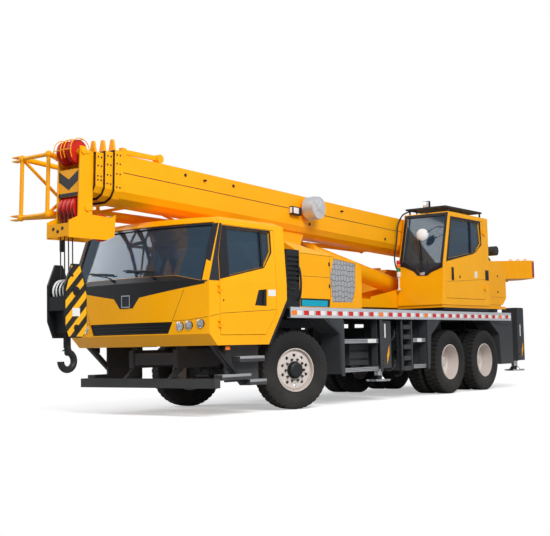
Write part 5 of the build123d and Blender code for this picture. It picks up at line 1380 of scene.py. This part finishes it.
# ---------------------------------------------------------------- operator's cab and superstructure
@dataclass
class OperatorCab:
    """Black screen frame, glass, mirror, lamps, rails and small fittings of the operator's cab."""

    low_y: float = 4.135
    belt_z: float = 2.250
    belt_y: float = 4.200
    roof_y: float = 4.460
    roof_z: float = 3.165
    outer_x: float = 1.205
    # x and z: outer edge of the black screen frame, then the screen itself, point for point
    screen_outer: tuple = ((0.345, 3.150), (0.345, 2.230), (0.456, 2.205), (0.640, 2.120), (0.712, 2.045),
                           (0.900, 2.038), (0.975, 2.090), (1.198, 2.170), (1.198, 3.150))
    screen_inner: tuple = ((0.397, 3.098), (0.397, 2.297), (0.456, 2.288), (0.686, 2.161), (0.737, 2.092),
                           (0.875, 2.085), (0.940, 2.146), (1.152, 2.212), (1.152, 3.098))
    # station and z of the door's black area and of its window, point for point
    door_outer: tuple = ((4.312, 2.275), (5.368, 2.465), (5.715, 2.650), (5.690, 3.078), (4.520, 3.078))
    door_inner: tuple = ((4.390, 2.330), (5.482, 2.510), (5.683, 2.670), (5.620, 3.040), (4.545, 3.040))
    door_glass: tuple = ((4.388, 2.326), (5.484, 2.506), (5.687, 2.669), (5.623, 3.044), (4.542, 3.044))

    def front_y(self, z: float) -> float:
        """Give the station of the cab's front face at a height."""
        if z <= self.belt_z:
            return self.low_y + (self.belt_y - self.low_y) * (z - 1.530) / (self.belt_z - 1.530)
        return self.belt_y + (self.roof_y - self.belt_y) * (z - self.belt_z) / (self.roof_z - self.belt_z)

    def on_front(self, piece: bpy.types.Object, proud: float) -> bpy.types.Object:
        """Lay a flat panel, modelled at y = 0 and thickening forwards, on the folded front face."""
        take(piece)
        bpy.ops.object.mode_set(mode="EDIT")
        bpy.ops.mesh.select_all(action="SELECT")
        bpy.ops.mesh.bisect(plane_co=(0, 0, self.belt_z), plane_no=(0, 0, 1))
        bpy.ops.object.mode_set(mode="OBJECT")
        for vertex in piece.data.vertices:
            vertex.co.y += at(self.front_y(vertex.co.z)) - proud
        return piece

    def point(self, x: float, z: float, proud: float) -> tuple[float, float, float]:
        """Give a point that stands proud of the front face."""
        return x, at(self.front_y(z)) - proud, z

    def build(self) -> None:
        """Build all the cab's fittings."""
        self.screen()
        self.door()
        self.mirror()
        self.signal_column()
        self.roof()
        self.vents()
        self.controls()

    def screen(self) -> None:
        """Model the black frame round the windscreen, the wiper and the blank badge at its foot."""
        border = self.on_front(frame_slab("border", self.screen_outer, self.screen_inner, Axis.Y, 0.0,
                                          -0.008), -0.002)
        wiper = [bar("hub", self.point(0.800, 2.120, -0.010), self.point(0.800, 2.120, 0.040), 0.020, 16,
                     0.003),
                 bar("arm", self.point(0.800, 2.120, 0.030), self.point(0.700, 2.560, 0.022), 0.007, 10),
                 bar("arm", self.point(0.815, 2.120, 0.030), self.point(0.730, 2.520, 0.022), 0.005, 10),
                 bar("blade", self.point(0.790, 2.330, 0.002), self.point(0.640, 2.850, 0.002), 0.009, 8)]
        fit_out([border] + wiper, "operator_screen_frame", "upper", "black trim")
        badge = self.on_front(slab("badge", ((0.765, 2.055), (0.848, 2.055), (0.858, 2.105), (0.755, 2.105)),
                                   Axis.Y, 0.0, -0.004), 0.006)
        fit_out([badge], "operator_cab_badge", "upper", "skirt silver")

    def door(self) -> None:
        """Model the door's black window frame, its glass, lock and blank labels."""
        x = self.outer_x
        border = frame_slab("border", stations(self.door_outer), stations(self.door_inner), Axis.X,
                            x - 0.002, 0.005)
        post = slab("post", stations(((5.270, 2.476), (5.310, 2.483), (5.310, 3.040), (5.270, 3.040))),
                    Axis.X, x - 0.034, 0.030)
        handle = box("handle", (x + 0.006, at(4.492), 1.960), (x + 0.016, at(4.566), 2.185), 0.004)
        lock = box("lock", (x, at(4.795), 2.000), (x + 0.006, at(4.832), 2.050), 0.003)
        seam = slab("seam", stations(((4.312, 1.925), (5.792, 2.012), (5.792, 2.016), (4.312, 1.929))),
                    Axis.X, x, 0.0012)
        fit_out([border, post, handle, lock, seam], "operator_door_trim", "operator_door", "black trim")
        glass = slab("glass", stations(self.door_glass), Axis.X, x - 0.030, 0.005)
        fit_out([glass], "operator_door_glass", "operator_door", "window glass")
        label = slab("label", stations(((5.400, 2.030), (5.505, 2.034), (5.505, 2.150), (5.400, 2.146))),
                     Axis.X, x, 0.0012)
        fit_out([label], "operator_door_label", "operator_door", "label white")

    def mirror(self) -> None:
        """Model the round white mirror on its stalk before the windscreen."""
        centre = Vector((0.818, at(4.317) - 0.110, 2.762))
        facing = Vector((0.35, -0.93, 0.05)).normalized()
        profile = ((0.0, 0.102), (0.012, 0.104), (0.030, 0.088), (0.044, 0.050), (0.048, 0.0))
        shell = lathe("mirror", ((0.0, 0.0),) + profile, centre, facing, 40)
        fit_out([shell], "operator_mirror", "upper", "label white")
        root = self.point(1.175, 2.880, 0.0)
        stalk = [bar("stalk", centre - facing * 0.004, (1.100, centre.y + 0.010, 2.880), 0.007, 10),
                 bar("stalk", (1.100, centre.y + 0.010, 2.880), root, 0.007, 10)]
        fit_out(stalk, "operator_mirror_stalk", "upper", "black trim")

    def signal_column(self) -> None:
        """Model the signal column at the cab's inner front corner."""
        x, y = 0.385, at(4.135) - 0.045
        # bottom, top, radius, finish
        rows = ((1.805, 1.830, 0.032, "label white"), (1.830, 2.035, 0.012, "label white"),
                (2.035, 2.130, 0.033, "label white"), (2.130, 2.200, 0.034, "lamp green"),
                (2.200, 2.265, 0.034, "lamp amber"), (2.265, 2.330, 0.034, "lamp red"))
        for number, (low, high, radius, finish) in enumerate(rows):
            fit_out([bar("part", (x, y, low), (x, y, high), radius, 24, 0.003)], f"signal_column_{number}",
                    "upper", finish)
        bracket = [box("bracket", (x - 0.012, y, 1.812), (x + 0.012, y + 0.060, 1.826), 0.002),
                   box("bracket", (x - 0.012, y + 0.025, 2.060), (x + 0.012, y + 0.060, 2.074), 0.002)]
        fit_out(bracket, "signal_column_brackets", "upper", "black trim")

    def roof(self) -> None:
        """Model the lamp over the roof and the grab rail beside the windscreen."""
        rail = hose("rail", ((0.352, at(4.190), 2.140), (0.330, at(4.110), 2.200), (0.330, at(4.150), 2.700),
                             (0.350, at(4.300), 3.120), (0.420, at(4.440), 3.215), (0.560, at(4.480),
                                                                                    3.225)), 0.013)
        stay = bar("stay", (0.560, at(4.480), 3.225), (0.560, at(4.500), 3.160), 0.013, 12)
        post = bar("post", (0.800, at(4.420), 3.150), (0.800, at(4.420), 3.262), 0.012, 12)
        case = box("case", (0.735, at(4.400), 3.255), (0.865, at(4.455), 3.375), 0.012)
        fit_out([rail, stay, post, case], "operator_cab_rail_and_lamp", "upper", "black trim")
        fit_out([box("lens", (0.747, at(4.400) - 0.004, 3.267), (0.853, at(4.401), 3.363), 0.003)],
                "operator_roof_lamp_lens", "upper", "lamp silver")

    def vents(self) -> None:
        """Model the rear vent, the cabinet's doors and louvres, and the dark foot box behind the cab."""
        x = 1.200
        vent = [box("vent", (x, at(5.835), 2.000), (x + 0.010, at(5.975), 2.190), 0.004)]
        vent += [box("blade", (x + 0.008, at(5.845), 2.015 + 0.032 * k),
                     (x + 0.014, at(5.965), 2.030 + 0.032 * k), 0.002) for k in range(5)]
        foot = [box("foot", (0.900, at(6.030), 1.424), (1.130, at(6.470), 1.558), 0.006)]
        joints = [slab("joint", stations(((6.080, 1.700), (6.640, 1.700), (6.640, 1.704), (6.080, 1.704))),
                       Axis.X, x, 0.0012)]
        joints += [bar("knob", (x, at(6.360), z), (x + 0.010, at(6.360), z), 0.018, 16, 0.002)
                   for z in (1.80, 2.10)]
        blades = []
        for k in range(7):
            z = 1.700 + 0.055 * k
            blades.append(box("blade", (-1.158, at(5.000), z), (-1.149, at(6.300), z + 0.022), 0.003))
        tray = [box("tray", (0.345, at(4.230), 1.424), (1.185, at(6.000), 1.5285), 0.006)]
        fit_out(vent + foot + joints + blades + tray, "superstructure_vents", "upper", "black trim")

    def controls(self) -> None:
        """Model knobs on the levers and pedals on the floor."""
        pieces = []
        for s in (-1, 1):
            lever = Vector((0.765 + s * 0.290, at(4.985), 2.338))
            bpy.ops.mesh.primitive_uv_sphere_add(segments=16, ring_count=10, radius=0.028, location=lever)
            pieces.append(soften(settle(bpy.context.object), 0.0))
        for x in (0.680, 0.850):
            pieces.append(slab("pedal", stations(((4.560, 1.580), (4.575, 1.575), (4.680, 1.680),
                                                  (4.665, 1.690))),
                               Axis.X, x - 0.045, 0.090, 0.004))
        fit_out(pieces, "operator_controls", "upper", "black trim")


@dataclass
class Superstructure:
    """Winch ropes, cylinder fittings, ballast marks and slew ring bolts."""

    def build(self) -> None:
        """Build everything on the turntable but the cab."""
        self.winch_rope()
        self.ring_bolts()
        self.ballast()
        self.pins()

    def winch_rope(self) -> None:
        """Model the layers of rope on both drums, and the motors' bolts."""
        for number, (station, z) in enumerate(((7.660, 2.700), (8.020, 2.420))):
            coils = []
            for layer, radius in ((0, 0.138), (1, 0.153)):
                for turn in range(24 - layer):
                    x = -0.190 + layer * 0.008 + turn * 0.0162
                    coils.append(ring("coil", (x, at(station), z), (1, 0, 0), radius, 0.0079, (36, 6)))
            fit_out(coils, f"winch_rope_{number + 1}", "upper", "greased steel")
        bolts = []
        for station, z, reach in ((7.660, 2.700, 0.600), (8.020, 2.420, 0.275)):
            for k in range(8):
                angle = math.radians(45 * k)
                y, high = at(station) + 0.075 * math.cos(angle), z + 0.075 * math.sin(angle)
                bolts.append(bar("bolt", (reach, y, high), (reach + 0.012, y, high), 0.010, 6))
        fit_out(bolts, "winch_bolts", "upper", "greased steel")

    def ring_bolts(self) -> None:
        """Model the bolts of the slew ring."""
        bolts = []
        for k in range(48):
            angle = math.radians(7.5 * k)
            x, y = 0.592 * math.cos(angle), at(5.000) + 0.592 * math.sin(angle)
            bolts.append(bar("bolt", (x, y, 1.418), (x, y, 1.4248), 0.016, 6))
        fit_out(bolts, "slew_ring_bolts", "chassis", "greased steel")

    def ballast(self) -> None:
        """Model the ballast's red and dark end marks."""
        marks, darks = [], []
        for side in SIGNS:
            marks.append(side_box("mark", side, (1.200, 1.202), (at(7.990), at(8.050)), (2.150, 2.450)))
            darks.append(side_box("mark", side, (1.200, 1.202), (at(8.050), at(8.092)), (2.150, 2.450)))
        fit_out(marks, "ballast_red_marks", "upper", "marker red")
        fit_out(darks, "ballast_dark_marks", "upper", "black trim")

    def pins(self) -> None:
        """Model the keeper plates of the boom's pivot and of the cylinder's foot."""
        pieces = []
        for side in SIGNS:
            for station, z, radius, x in ((6.750, 2.700, 0.105, 0.340), (5.000, 1.840, 0.080, 0.315)):
                pieces.append(bar("keeper", (side * x, at(station), z), (side * (x + 0.012), at(station), z),
                                  radius, 28, 0.003))
                for k in range(4):
                    angle = math.radians(45 + 90 * k)
                    y = at(station) + radius * 0.72 * math.cos(angle)
                    high = z + radius * 0.72 * math.sin(angle)
                    pieces.append(bar("bolt", (side * (x + 0.010), y, high), (side * (x + 0.022), y, high),
                                      0.010, 6))
        fit_out(pieces, "pin_keepers", "upper", "frame grey")


# ---------------------------------------------------------------- boom, jib and hook
@dataclass
class BoomFrame:
    """Places in the boom's own frame: Y runs back from the pivot, Z up, tilted as it is stowed."""

    pivot_station: float = 6.750
    pivot_z: float = 2.700
    rise: float = math.radians(-2)

    def pose(self) -> Matrix:
        """Give the boom frame's place on the machine."""
        hinge = Matrix.Translation((0, at(self.pivot_station), self.pivot_z))
        return hinge @ Matrix.Rotation(self.rise, 4, "X")

    def lay(self, pieces: list) -> list:
        """Move pieces that were modelled in the boom's frame to their place."""
        pose = self.pose()
        return [swap(piece, pose) for piece in pieces]


@dataclass
class BoomDress:
    """Weld lines, rings of painted shade at the section mouths, collar bolts and hose guides on the boom's
    sections.
    """

    place: BoomFrame = field(default_factory=BoomFrame)
    half: float = 0.270
    half_step: float = 0.030
    top: float = 0.318
    tall: float = 0.610
    first_face: float = -9.480
    face_step: float = 0.133
    collar: float = 0.125
    proud: float = 0.030
    # node's body for sections one to four
    bodies: tuple = ("boom", "section_2", "section_3", "section_4")

    def build(self) -> None:
        """Build the fittings of all the sections."""
        self.base()
        for level, body in enumerate(self.bodies[:3]):
            self.collar_bolts(level, body)
        self.hose_reel()
        self.work_lamp()

    def base(self) -> None:
        """Model the weld line, lugs and plugs along the base section."""
        darks = []
        for side in SIGNS:
            x = side * self.half
            darks.append(side_box("weld", side, (self.half, self.half + 0.003), (-9.300, 0.350),
                                  (self.top - 0.236, self.top - 0.228)))
            for y, z in ((-8.13, 0.235), (-7.10, 0.235), (-5.20, -0.10), (-2.90, -0.10)):
                darks.append(bar("plug", (x, y, z), (x + side * 0.010, y, z), 0.024, 20, 0.003))
            for y in (-7.745, -4.300):
                darks.append(bar("knob", (x, y, 0.215), (x + side * 0.045, y, 0.215), 0.015, 14, 0.003))
        for y in (-7.40, -5.10, -2.80, -0.90):
            darks.append(box("clip", (-0.060, y - 0.020, self.top), (0.060, y + 0.020, self.top + 0.016),
                             0.003))
        darks += [bar("line", (x, -8.300, self.top + 0.012), (x, 0.150, self.top + 0.012), 0.009, 10)
                  for x in (-0.035, 0.0, 0.035)]
        fit_out(self.place.lay(darks), "boom_base_fittings", "boom", "black trim")

    def outline(self, level: int, grow: float) -> tuple:
        """Give a section's profile as (x, z) corners, with grow added on every side."""
        half = self.half - self.half_step * level + grow
        top = self.top - self.half_step * level + grow
        tall = self.tall - 2 * self.half_step * level + 2 * grow
        right = ((half, top), (half, top - tall * 0.78), (half * 0.82, top - tall * 0.92),
                 (half * 0.48, top - tall))
        return right + tuple((-x, z) for x, z in reversed(right))

    def collar_bolts(self, level: int, body: str) -> None:
        """Model a black ring of painted shade at a section's mouth, for the gap round the next section, and
        the bolts of its collar.
        """
        front = self.first_face - self.face_step * level
        # black ring: painted shade of the gap at the section's mouth, in black trim
        gap = frame_slab("ring", self.outline(level, self.proud - 0.002),
                         self.outline(level + 1, self.proud + 0.001), Axis.Y, front - 0.0005, -0.003)
        fit_out(self.place.lay([gap]), f"painted_gap_shade_{level + 1}", body, "black trim")
        half = self.half - self.half_step * level + self.proud
        top = self.top - self.half_step * level + self.proud
        low = top - (self.tall - 2 * self.half_step * level) - 2 * self.proud
        face = self.first_face - self.face_step * level
        bolts = []
        for side in SIGNS:
            x = side * half
            for z in (top - 0.060, top - 0.170, top - 0.300, low + 0.200):
                for y in (face + 0.035, face + 0.090):
                    bolts.append(bar("bolt", (x, y, z), (x + side * 0.008, y, z), 0.0115, 6, 0.001))
        for x in (-0.12, -0.04, 0.04, 0.12):
            bolts.append(bar("bolt", (x, face + 0.045, top), (x, face + 0.045, top + 0.008), 0.0115, 6,
                             0.001))
        fit_out(self.place.lay(bolts), f"collar_bolts_{level + 1}", body, "greased steel")

    def hose_reel(self) -> None:
        """Model the wound hose of the reel on the boom's left side."""
        coils = []
        for number in range(10):
            x = 0.344 + 0.0190 * number
            coils.append(ring("coil", (x, -5.320, 0.123), (1, 0, 0), 0.1735, 0.0095, (48, 8)))
        fit_out(self.place.lay(coils), "cable_reel_windings", "boom", "lamp silver")
        spokes = [bar("face", (0.528, -5.320, 0.123), (0.534, -5.320, 0.123), 0.171, 48, 0.002)]
        for k in range(6):
            turn = Matrix.Rotation(math.radians(60 * k), 4, "X")
            start, end = turn @ Vector((0, 0, 0.035)), turn @ Vector((0, 0, 0.165))
            shift = Vector((0.533, -5.320, 0.123))
            spokes.append(bar("spoke", shift + start, shift + end, 0.009, 10))
        spokes.append(bar("hub", (0.526, -5.320, 0.123), (0.548, -5.320, 0.123), 0.045, 28, 0.004))
        spokes.append(ring("rim", (0.533, -5.320, 0.123), (1, 0, 0), 0.168, 0.008, (48, 8)))
        fit_out(self.place.lay(spokes), "cable_reel_spokes", "boom", "skirt silver")

    def work_lamp(self) -> None:
        """Model the work lamp's case and lens."""
        case = [box("case", (0.272, -5.748, -0.011), (0.3425, -5.512, 0.115), 0.006)]
        fit_out(self.place.lay(case), "boom_lamp_case", "boom", "black trim")
        lens = [box("lens", (0.3415, -5.725, 0.008), (0.3460, -5.590, 0.098), 0.003),
                box("lens", (0.282, -5.7500, 0.008), (0.332, -5.7470, 0.098), 0.003)]
        fit_out(self.place.lay(lens), "boom_lamp_lens", "boom", "label white")


@dataclass
class BoomHeadDress:
    """Chevron plate, rope guards, pins and the overwind weight of the boom's head."""

    place: BoomFrame = field(default_factory=BoomFrame)
    plate_front: float = -9.962
    half: float = 0.200

    def build(self) -> None:
        """Build everything that rides on the last section's head."""
        self.chevron()
        self.guards()
        self.overwind()

    def chevron(self) -> None:
        """Model the nose plate with its dark chevron, the pad below, and black discs of painted shade for the
        bracket's holes.
        """
        y = self.plate_front - 0.0015
        face = slab("face", ((-0.190, -0.240), (0.190, -0.240), (0.190, 0.048), (-0.190, 0.048)), Axis.Y, y,
                    -0.002)
        fit_out(self.place.lay([face]), "head_nose_plate", "section_4", "amber paint")
        darks = [slab("chevron", ((0.0, -0.205), (0.186, -0.085), (0.186, 0.044), (0.0, -0.070),
                                  (-0.186, 0.044), (-0.186, -0.085)), Axis.Y, y - 0.002, -0.0015),
                 slab("pad", ((-0.190, -0.284), (0.190, -0.284), (0.190, -0.240), (-0.190, -0.240)), Axis.Y,
                      y, -0.006)]
        # three black discs: painted shade standing for the holes in the bracket's front plate
        for x, z in ((-0.080, -0.700), (0.0, -0.735), (0.080, -0.700)):
            darks.append(bar("painted_hole_shade", (x, y - 0.1635, z), (x, y - 0.1660, z), 0.022, 24))
        fit_out(self.place.lay(darks), "head_nose_chevron", "section_4", "black trim")

    def guards(self) -> None:
        """Model rope guards over the top sheaves and pin ends."""
        pieces = []
        for x in (-0.150, -0.030, 0.030, 0.150):
            pieces.append(hose("guard", ((x, -9.840, 0.150), (x, -9.780, 0.330), (x, -9.880, 0.425),
                                         (x, -10.030, 0.395), (x, -10.085, 0.270),
                                         (x, -10.060, 0.180)), 0.006))
        for y, z in ((-9.880, 0.428), (-10.085, 0.280)):
            pieces.append(bar("cross", (-0.156, y, z), (0.156, y, z), 0.007, 10))
        for y, z in ((-9.920, 0.270), (-9.842, -0.430)):
            for side in SIGNS:
                x = side * self.half
                pieces.append(bar("pin", (x, y, z), (x + side * 0.016, y, z), 0.042, 24, 0.004))
                pieces.append(side_box("keeper", side, (self.half, self.half + 0.010), (y + 0.020, y + 0.100),
                                       (z - 0.022, z + 0.022), 0.003))
        fit_out(self.place.lay(pieces), "head_guards_and_pins", "section_4", "amber paint")

    def overwind(self) -> None:
        """Model the overwind switch's weight on its bent rod beside the hoist rope."""
        top = self.place.pose() @ Vector((-0.170, -9.900, -0.560))
        rod = hose("rod", (tuple(top), (-0.200, top.y + 0.010, top.z - 0.080),
                           (-0.205, top.y + 0.020, 2.200)), 0.006)
        weight = bar("weight", (-0.205, top.y + 0.020, 2.100), (-0.205, top.y + 0.020, 2.250), 0.034, 24,
                     0.008)
        fit_out([rod, weight], "overwind_weight", "section_4", "black trim")


@dataclass
class HookDress:
    """Stripes, blank label, pale sheaves and bosses of the hook block."""

    # height, and how far the outer cheek reaches fore and aft of the block's middle
    cheek: tuple = ((1.045, -0.120), (1.160, -0.168), (1.560, -0.168), (1.900, -0.070), (1.900, 0.070),
                    (1.560, 0.168), (1.160, 0.168), (1.045, 0.120))
    sheave_z: float = 1.595
    sheave_x: tuple = (-0.090, -0.030, 0.030, 0.090)

    def build(self) -> None:
        """Build the hook block's fittings."""
        low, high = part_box("hook_block")
        middle = (low.y + high.y) / 2
        outline = tuple((middle + reach, z) for z, reach in self.cheek)
        fit_out([slab("stripes", outline, Axis.X, high.x + 0.0003, 0.002)], "hook_cheek_stripes", "hook",
                "warning stripes")
        rims = [ring("rim", (x, middle, self.sheave_z), (1, 0, 0), 0.136, 0.013, (40, 8))
                for x in self.sheave_x]
        fit_out(rims, "hook_sheave_rims", "hook", "label white")
        darks = []
        for side, x in ((1, high.x + 0.002), (-1, low.x)):
            for z, radius in ((self.sheave_z, 0.055), (1.150, 0.040)):
                darks.append(bar("boss", (x, middle, z), (x + side * 0.012, middle, z), radius, 28, 0.004))
            for reach in (-0.060, 0.060):
                darks.append(bar("bolt", (x, middle + reach, 1.780),
                                 (x + side * 0.010, middle + reach, 1.780), 0.016, 6))
        fit_out(darks, "hook_block_bosses", "hook", "black trim")
        label = slab("label", ((middle - 0.060, 1.290), (middle + 0.060, 1.290), (middle + 0.060, 1.390),
                               (middle - 0.060, 1.390)), Axis.X, high.x + 0.0025, 0.0015)
        fit_out([label], "hook_block_label", "hook", "label white")


@dataclass
class RestDress:
    """Rubber pad on the boom's rest."""

    def build(self) -> None:
        """Build the pad on top of the rest."""
        low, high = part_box("boom_rest")
        middle = (low.y + high.y) / 2
        pieces = [box("rib", (-0.200 + 0.100 * k - 0.012, middle - 0.070, high.z - 0.0005),
                      (-0.200 + 0.100 * k + 0.012, middle + 0.070, high.z + 0.010), 0.003) for k in range(5)]
        fit_out(pieces, "rest_pad_ribs", "chassis", "black trim")


# ---------------------------------------------------------------- studio
@dataclass
class Studio:
    """Floor, backdrop, lights and the camera."""

    lens: float = 68.58
    camera_from_axle: tuple = (9.67584, -11.93060, 0.89470)
    right: tuple = (0.79912262, 0.60080723, -0.02082559)
    up: tuple = (0.06059098, -0.04602877, 0.99710084)
    lamp_power: float = 1500.0
    floor_lift: float = 0.40
    # distance from the middle where the floor starts to turn white, and where it is white
    floor_fade: tuple = (6.5, 11.0)

    def build(self, axle_y: float) -> None:
        """Set up the whole studio.

        Args:
            axle_y: where the front axle lies along the machine.
        """
        self.floor()
        self.world()
        self.lamps()
        self.camera(axle_y)
        bpy.context.scene.view_settings.view_transform = "Standard"

    def floor(self) -> None:
        """Lay the pale floor."""
        rest_tools()
        bpy.ops.mesh.primitive_plane_add(size=160.0, location=(0, 0, -0.001))
        floor = settle(bpy.context.object)
        floor.name = "studio_floor"
        material = bpy.data.materials.new("studio floor")
        material.use_nodes = True
        tree = material.node_tree
        tree.nodes.clear()
        kit = Nodes(tree)
        out = kit.add("ShaderNodeOutputMaterial")
        near = kit.add("ShaderNodeBsdfDiffuse", in_Color=(0.80, 0.80, 0.80, 1.0))
        bounce = kit.add("ShaderNodeBsdfDiffuse", in_Color=(0.45, 0.45, 0.45, 1.0))
        lift = kit.add("ShaderNodeEmission", in_Color=(1.0, 1.0, 1.0, 1.0), in_Strength=self.floor_lift)
        seen = kit.add("ShaderNodeAddShader")
        kit.link(near.outputs[0], seen.inputs[0])
        kit.link(lift.outputs[0], seen.inputs[1])
        distance = kit.add("ShaderNodeVectorMath", operation="LENGTH")
        kit.link(kit.add("ShaderNodeTexCoord").outputs["Object"], distance.inputs[0])
        fade = kit.add("ShaderNodeMapRange", in_From_Min=self.floor_fade[0], in_From_Max=self.floor_fade[1],
                       interpolation_type="SMOOTHSTEP")
        kit.link(distance.outputs["Value"], fade.inputs["Value"])
        white = kit.add("ShaderNodeEmission", in_Color=(1.0, 1.0, 1.0, 1.0), in_Strength=1.0)
        paling = kit.add("ShaderNodeMixShader")
        kit.link(fade.outputs[0], paling.inputs[0])
        kit.link(seen.outputs[0], paling.inputs[1])
        kit.link(white.outputs[0], paling.inputs[2])
        blend = kit.add("ShaderNodeMixShader")
        kit.link(kit.add("ShaderNodeLightPath").outputs["Is Camera Ray"], blend.inputs[0])
        kit.link(bounce.outputs[0], blend.inputs[1])
        kit.link(paling.outputs[0], blend.inputs[2])
        kit.link(blend.outputs[0], out.inputs[0])
        floor.data.materials.append(material)

    def world(self) -> None:
        """Light the machine evenly and show the camera a white backdrop."""
        world = bpy.data.worlds.new("studio")
        bpy.context.scene.world = world
        world.use_nodes = True
        tree = world.node_tree
        tree.nodes.clear()
        kit = Nodes(tree)
        out = kit.add("ShaderNodeOutputWorld")
        soft = kit.add("ShaderNodeBackground", in_Color=(0.90, 0.94, 1.0, 1.0), in_Strength=0.42)
        white = kit.add("ShaderNodeBackground", in_Color=(1.0, 1.0, 1.0, 1.0), in_Strength=1.0)
        path = kit.add("ShaderNodeLightPath")
        blend = kit.add("ShaderNodeMixShader")
        kit.link(path.outputs["Is Camera Ray"], blend.inputs[0])
        kit.link(soft.outputs[0], blend.inputs[1])
        kit.link(white.outputs[0], blend.inputs[2])
        kit.link(blend.outputs[0], out.inputs[0])

    def lamps(self) -> None:
        """Hang three large soft lamps."""
        # place, aim, size, share of the power
        for place, aim, size, share in (((13, -9, 12), (0, -1, 1.2), 8.0, 1.80),
                                        ((-10, -9, 9), (0, 0, 1.5), 8.0, 0.5),
                                        ((4, 12, 12), (0, 2, 1.5), 9.0, 0.5)):
            light = bpy.data.lights.new("soft lamp", "AREA")
            light.size = size
            light.energy = self.lamp_power * share
            lamp = bpy.data.objects.new("soft_lamp", light)
            lamp.location = place
            lamp.rotation_euler = (Vector(aim) - Vector(place)).to_track_quat("-Z", "Y").to_euler()
            bpy.context.scene.collection.objects.link(lamp)

    def camera(self, axle_y: float) -> None:
        """Place the camera low at the left front corner."""
        data = bpy.data.cameras.new("camera")
        data.lens, data.sensor_width = self.lens, 36.0
        data.clip_end = 200.0
        camera = bpy.data.objects.new("camera", data)
        bpy.context.scene.collection.objects.link(camera)
        right, up = Vector(self.right), Vector(self.up)
        back = right.cross(up)
        turn = Matrix((right, up, back)).transposed().to_4x4()
        place = Vector(self.camera_from_axle) + Vector((0, axle_y, 0))
        camera.matrix_world = Matrix.Translation(place) @ turn
        bpy.context.scene.camera = camera


def main() -> None:
    """Build every sub-assembly in order."""
    rest_tools()
    nodes = frame["nodes"]
    CadFinishes().dress(nodes)
    for part in (Wheels(), DriverCab(), HoodDress(), DeckDress(), UnderDeck(), OutriggerDress(),
                 OperatorCab(), Superstructure(), BoomDress(), BoomHeadDress(), HookDress(), RestDress()):
        part.build()
    Studio().build(AXLE_Y)


if __name__ == "__main__":
    main()
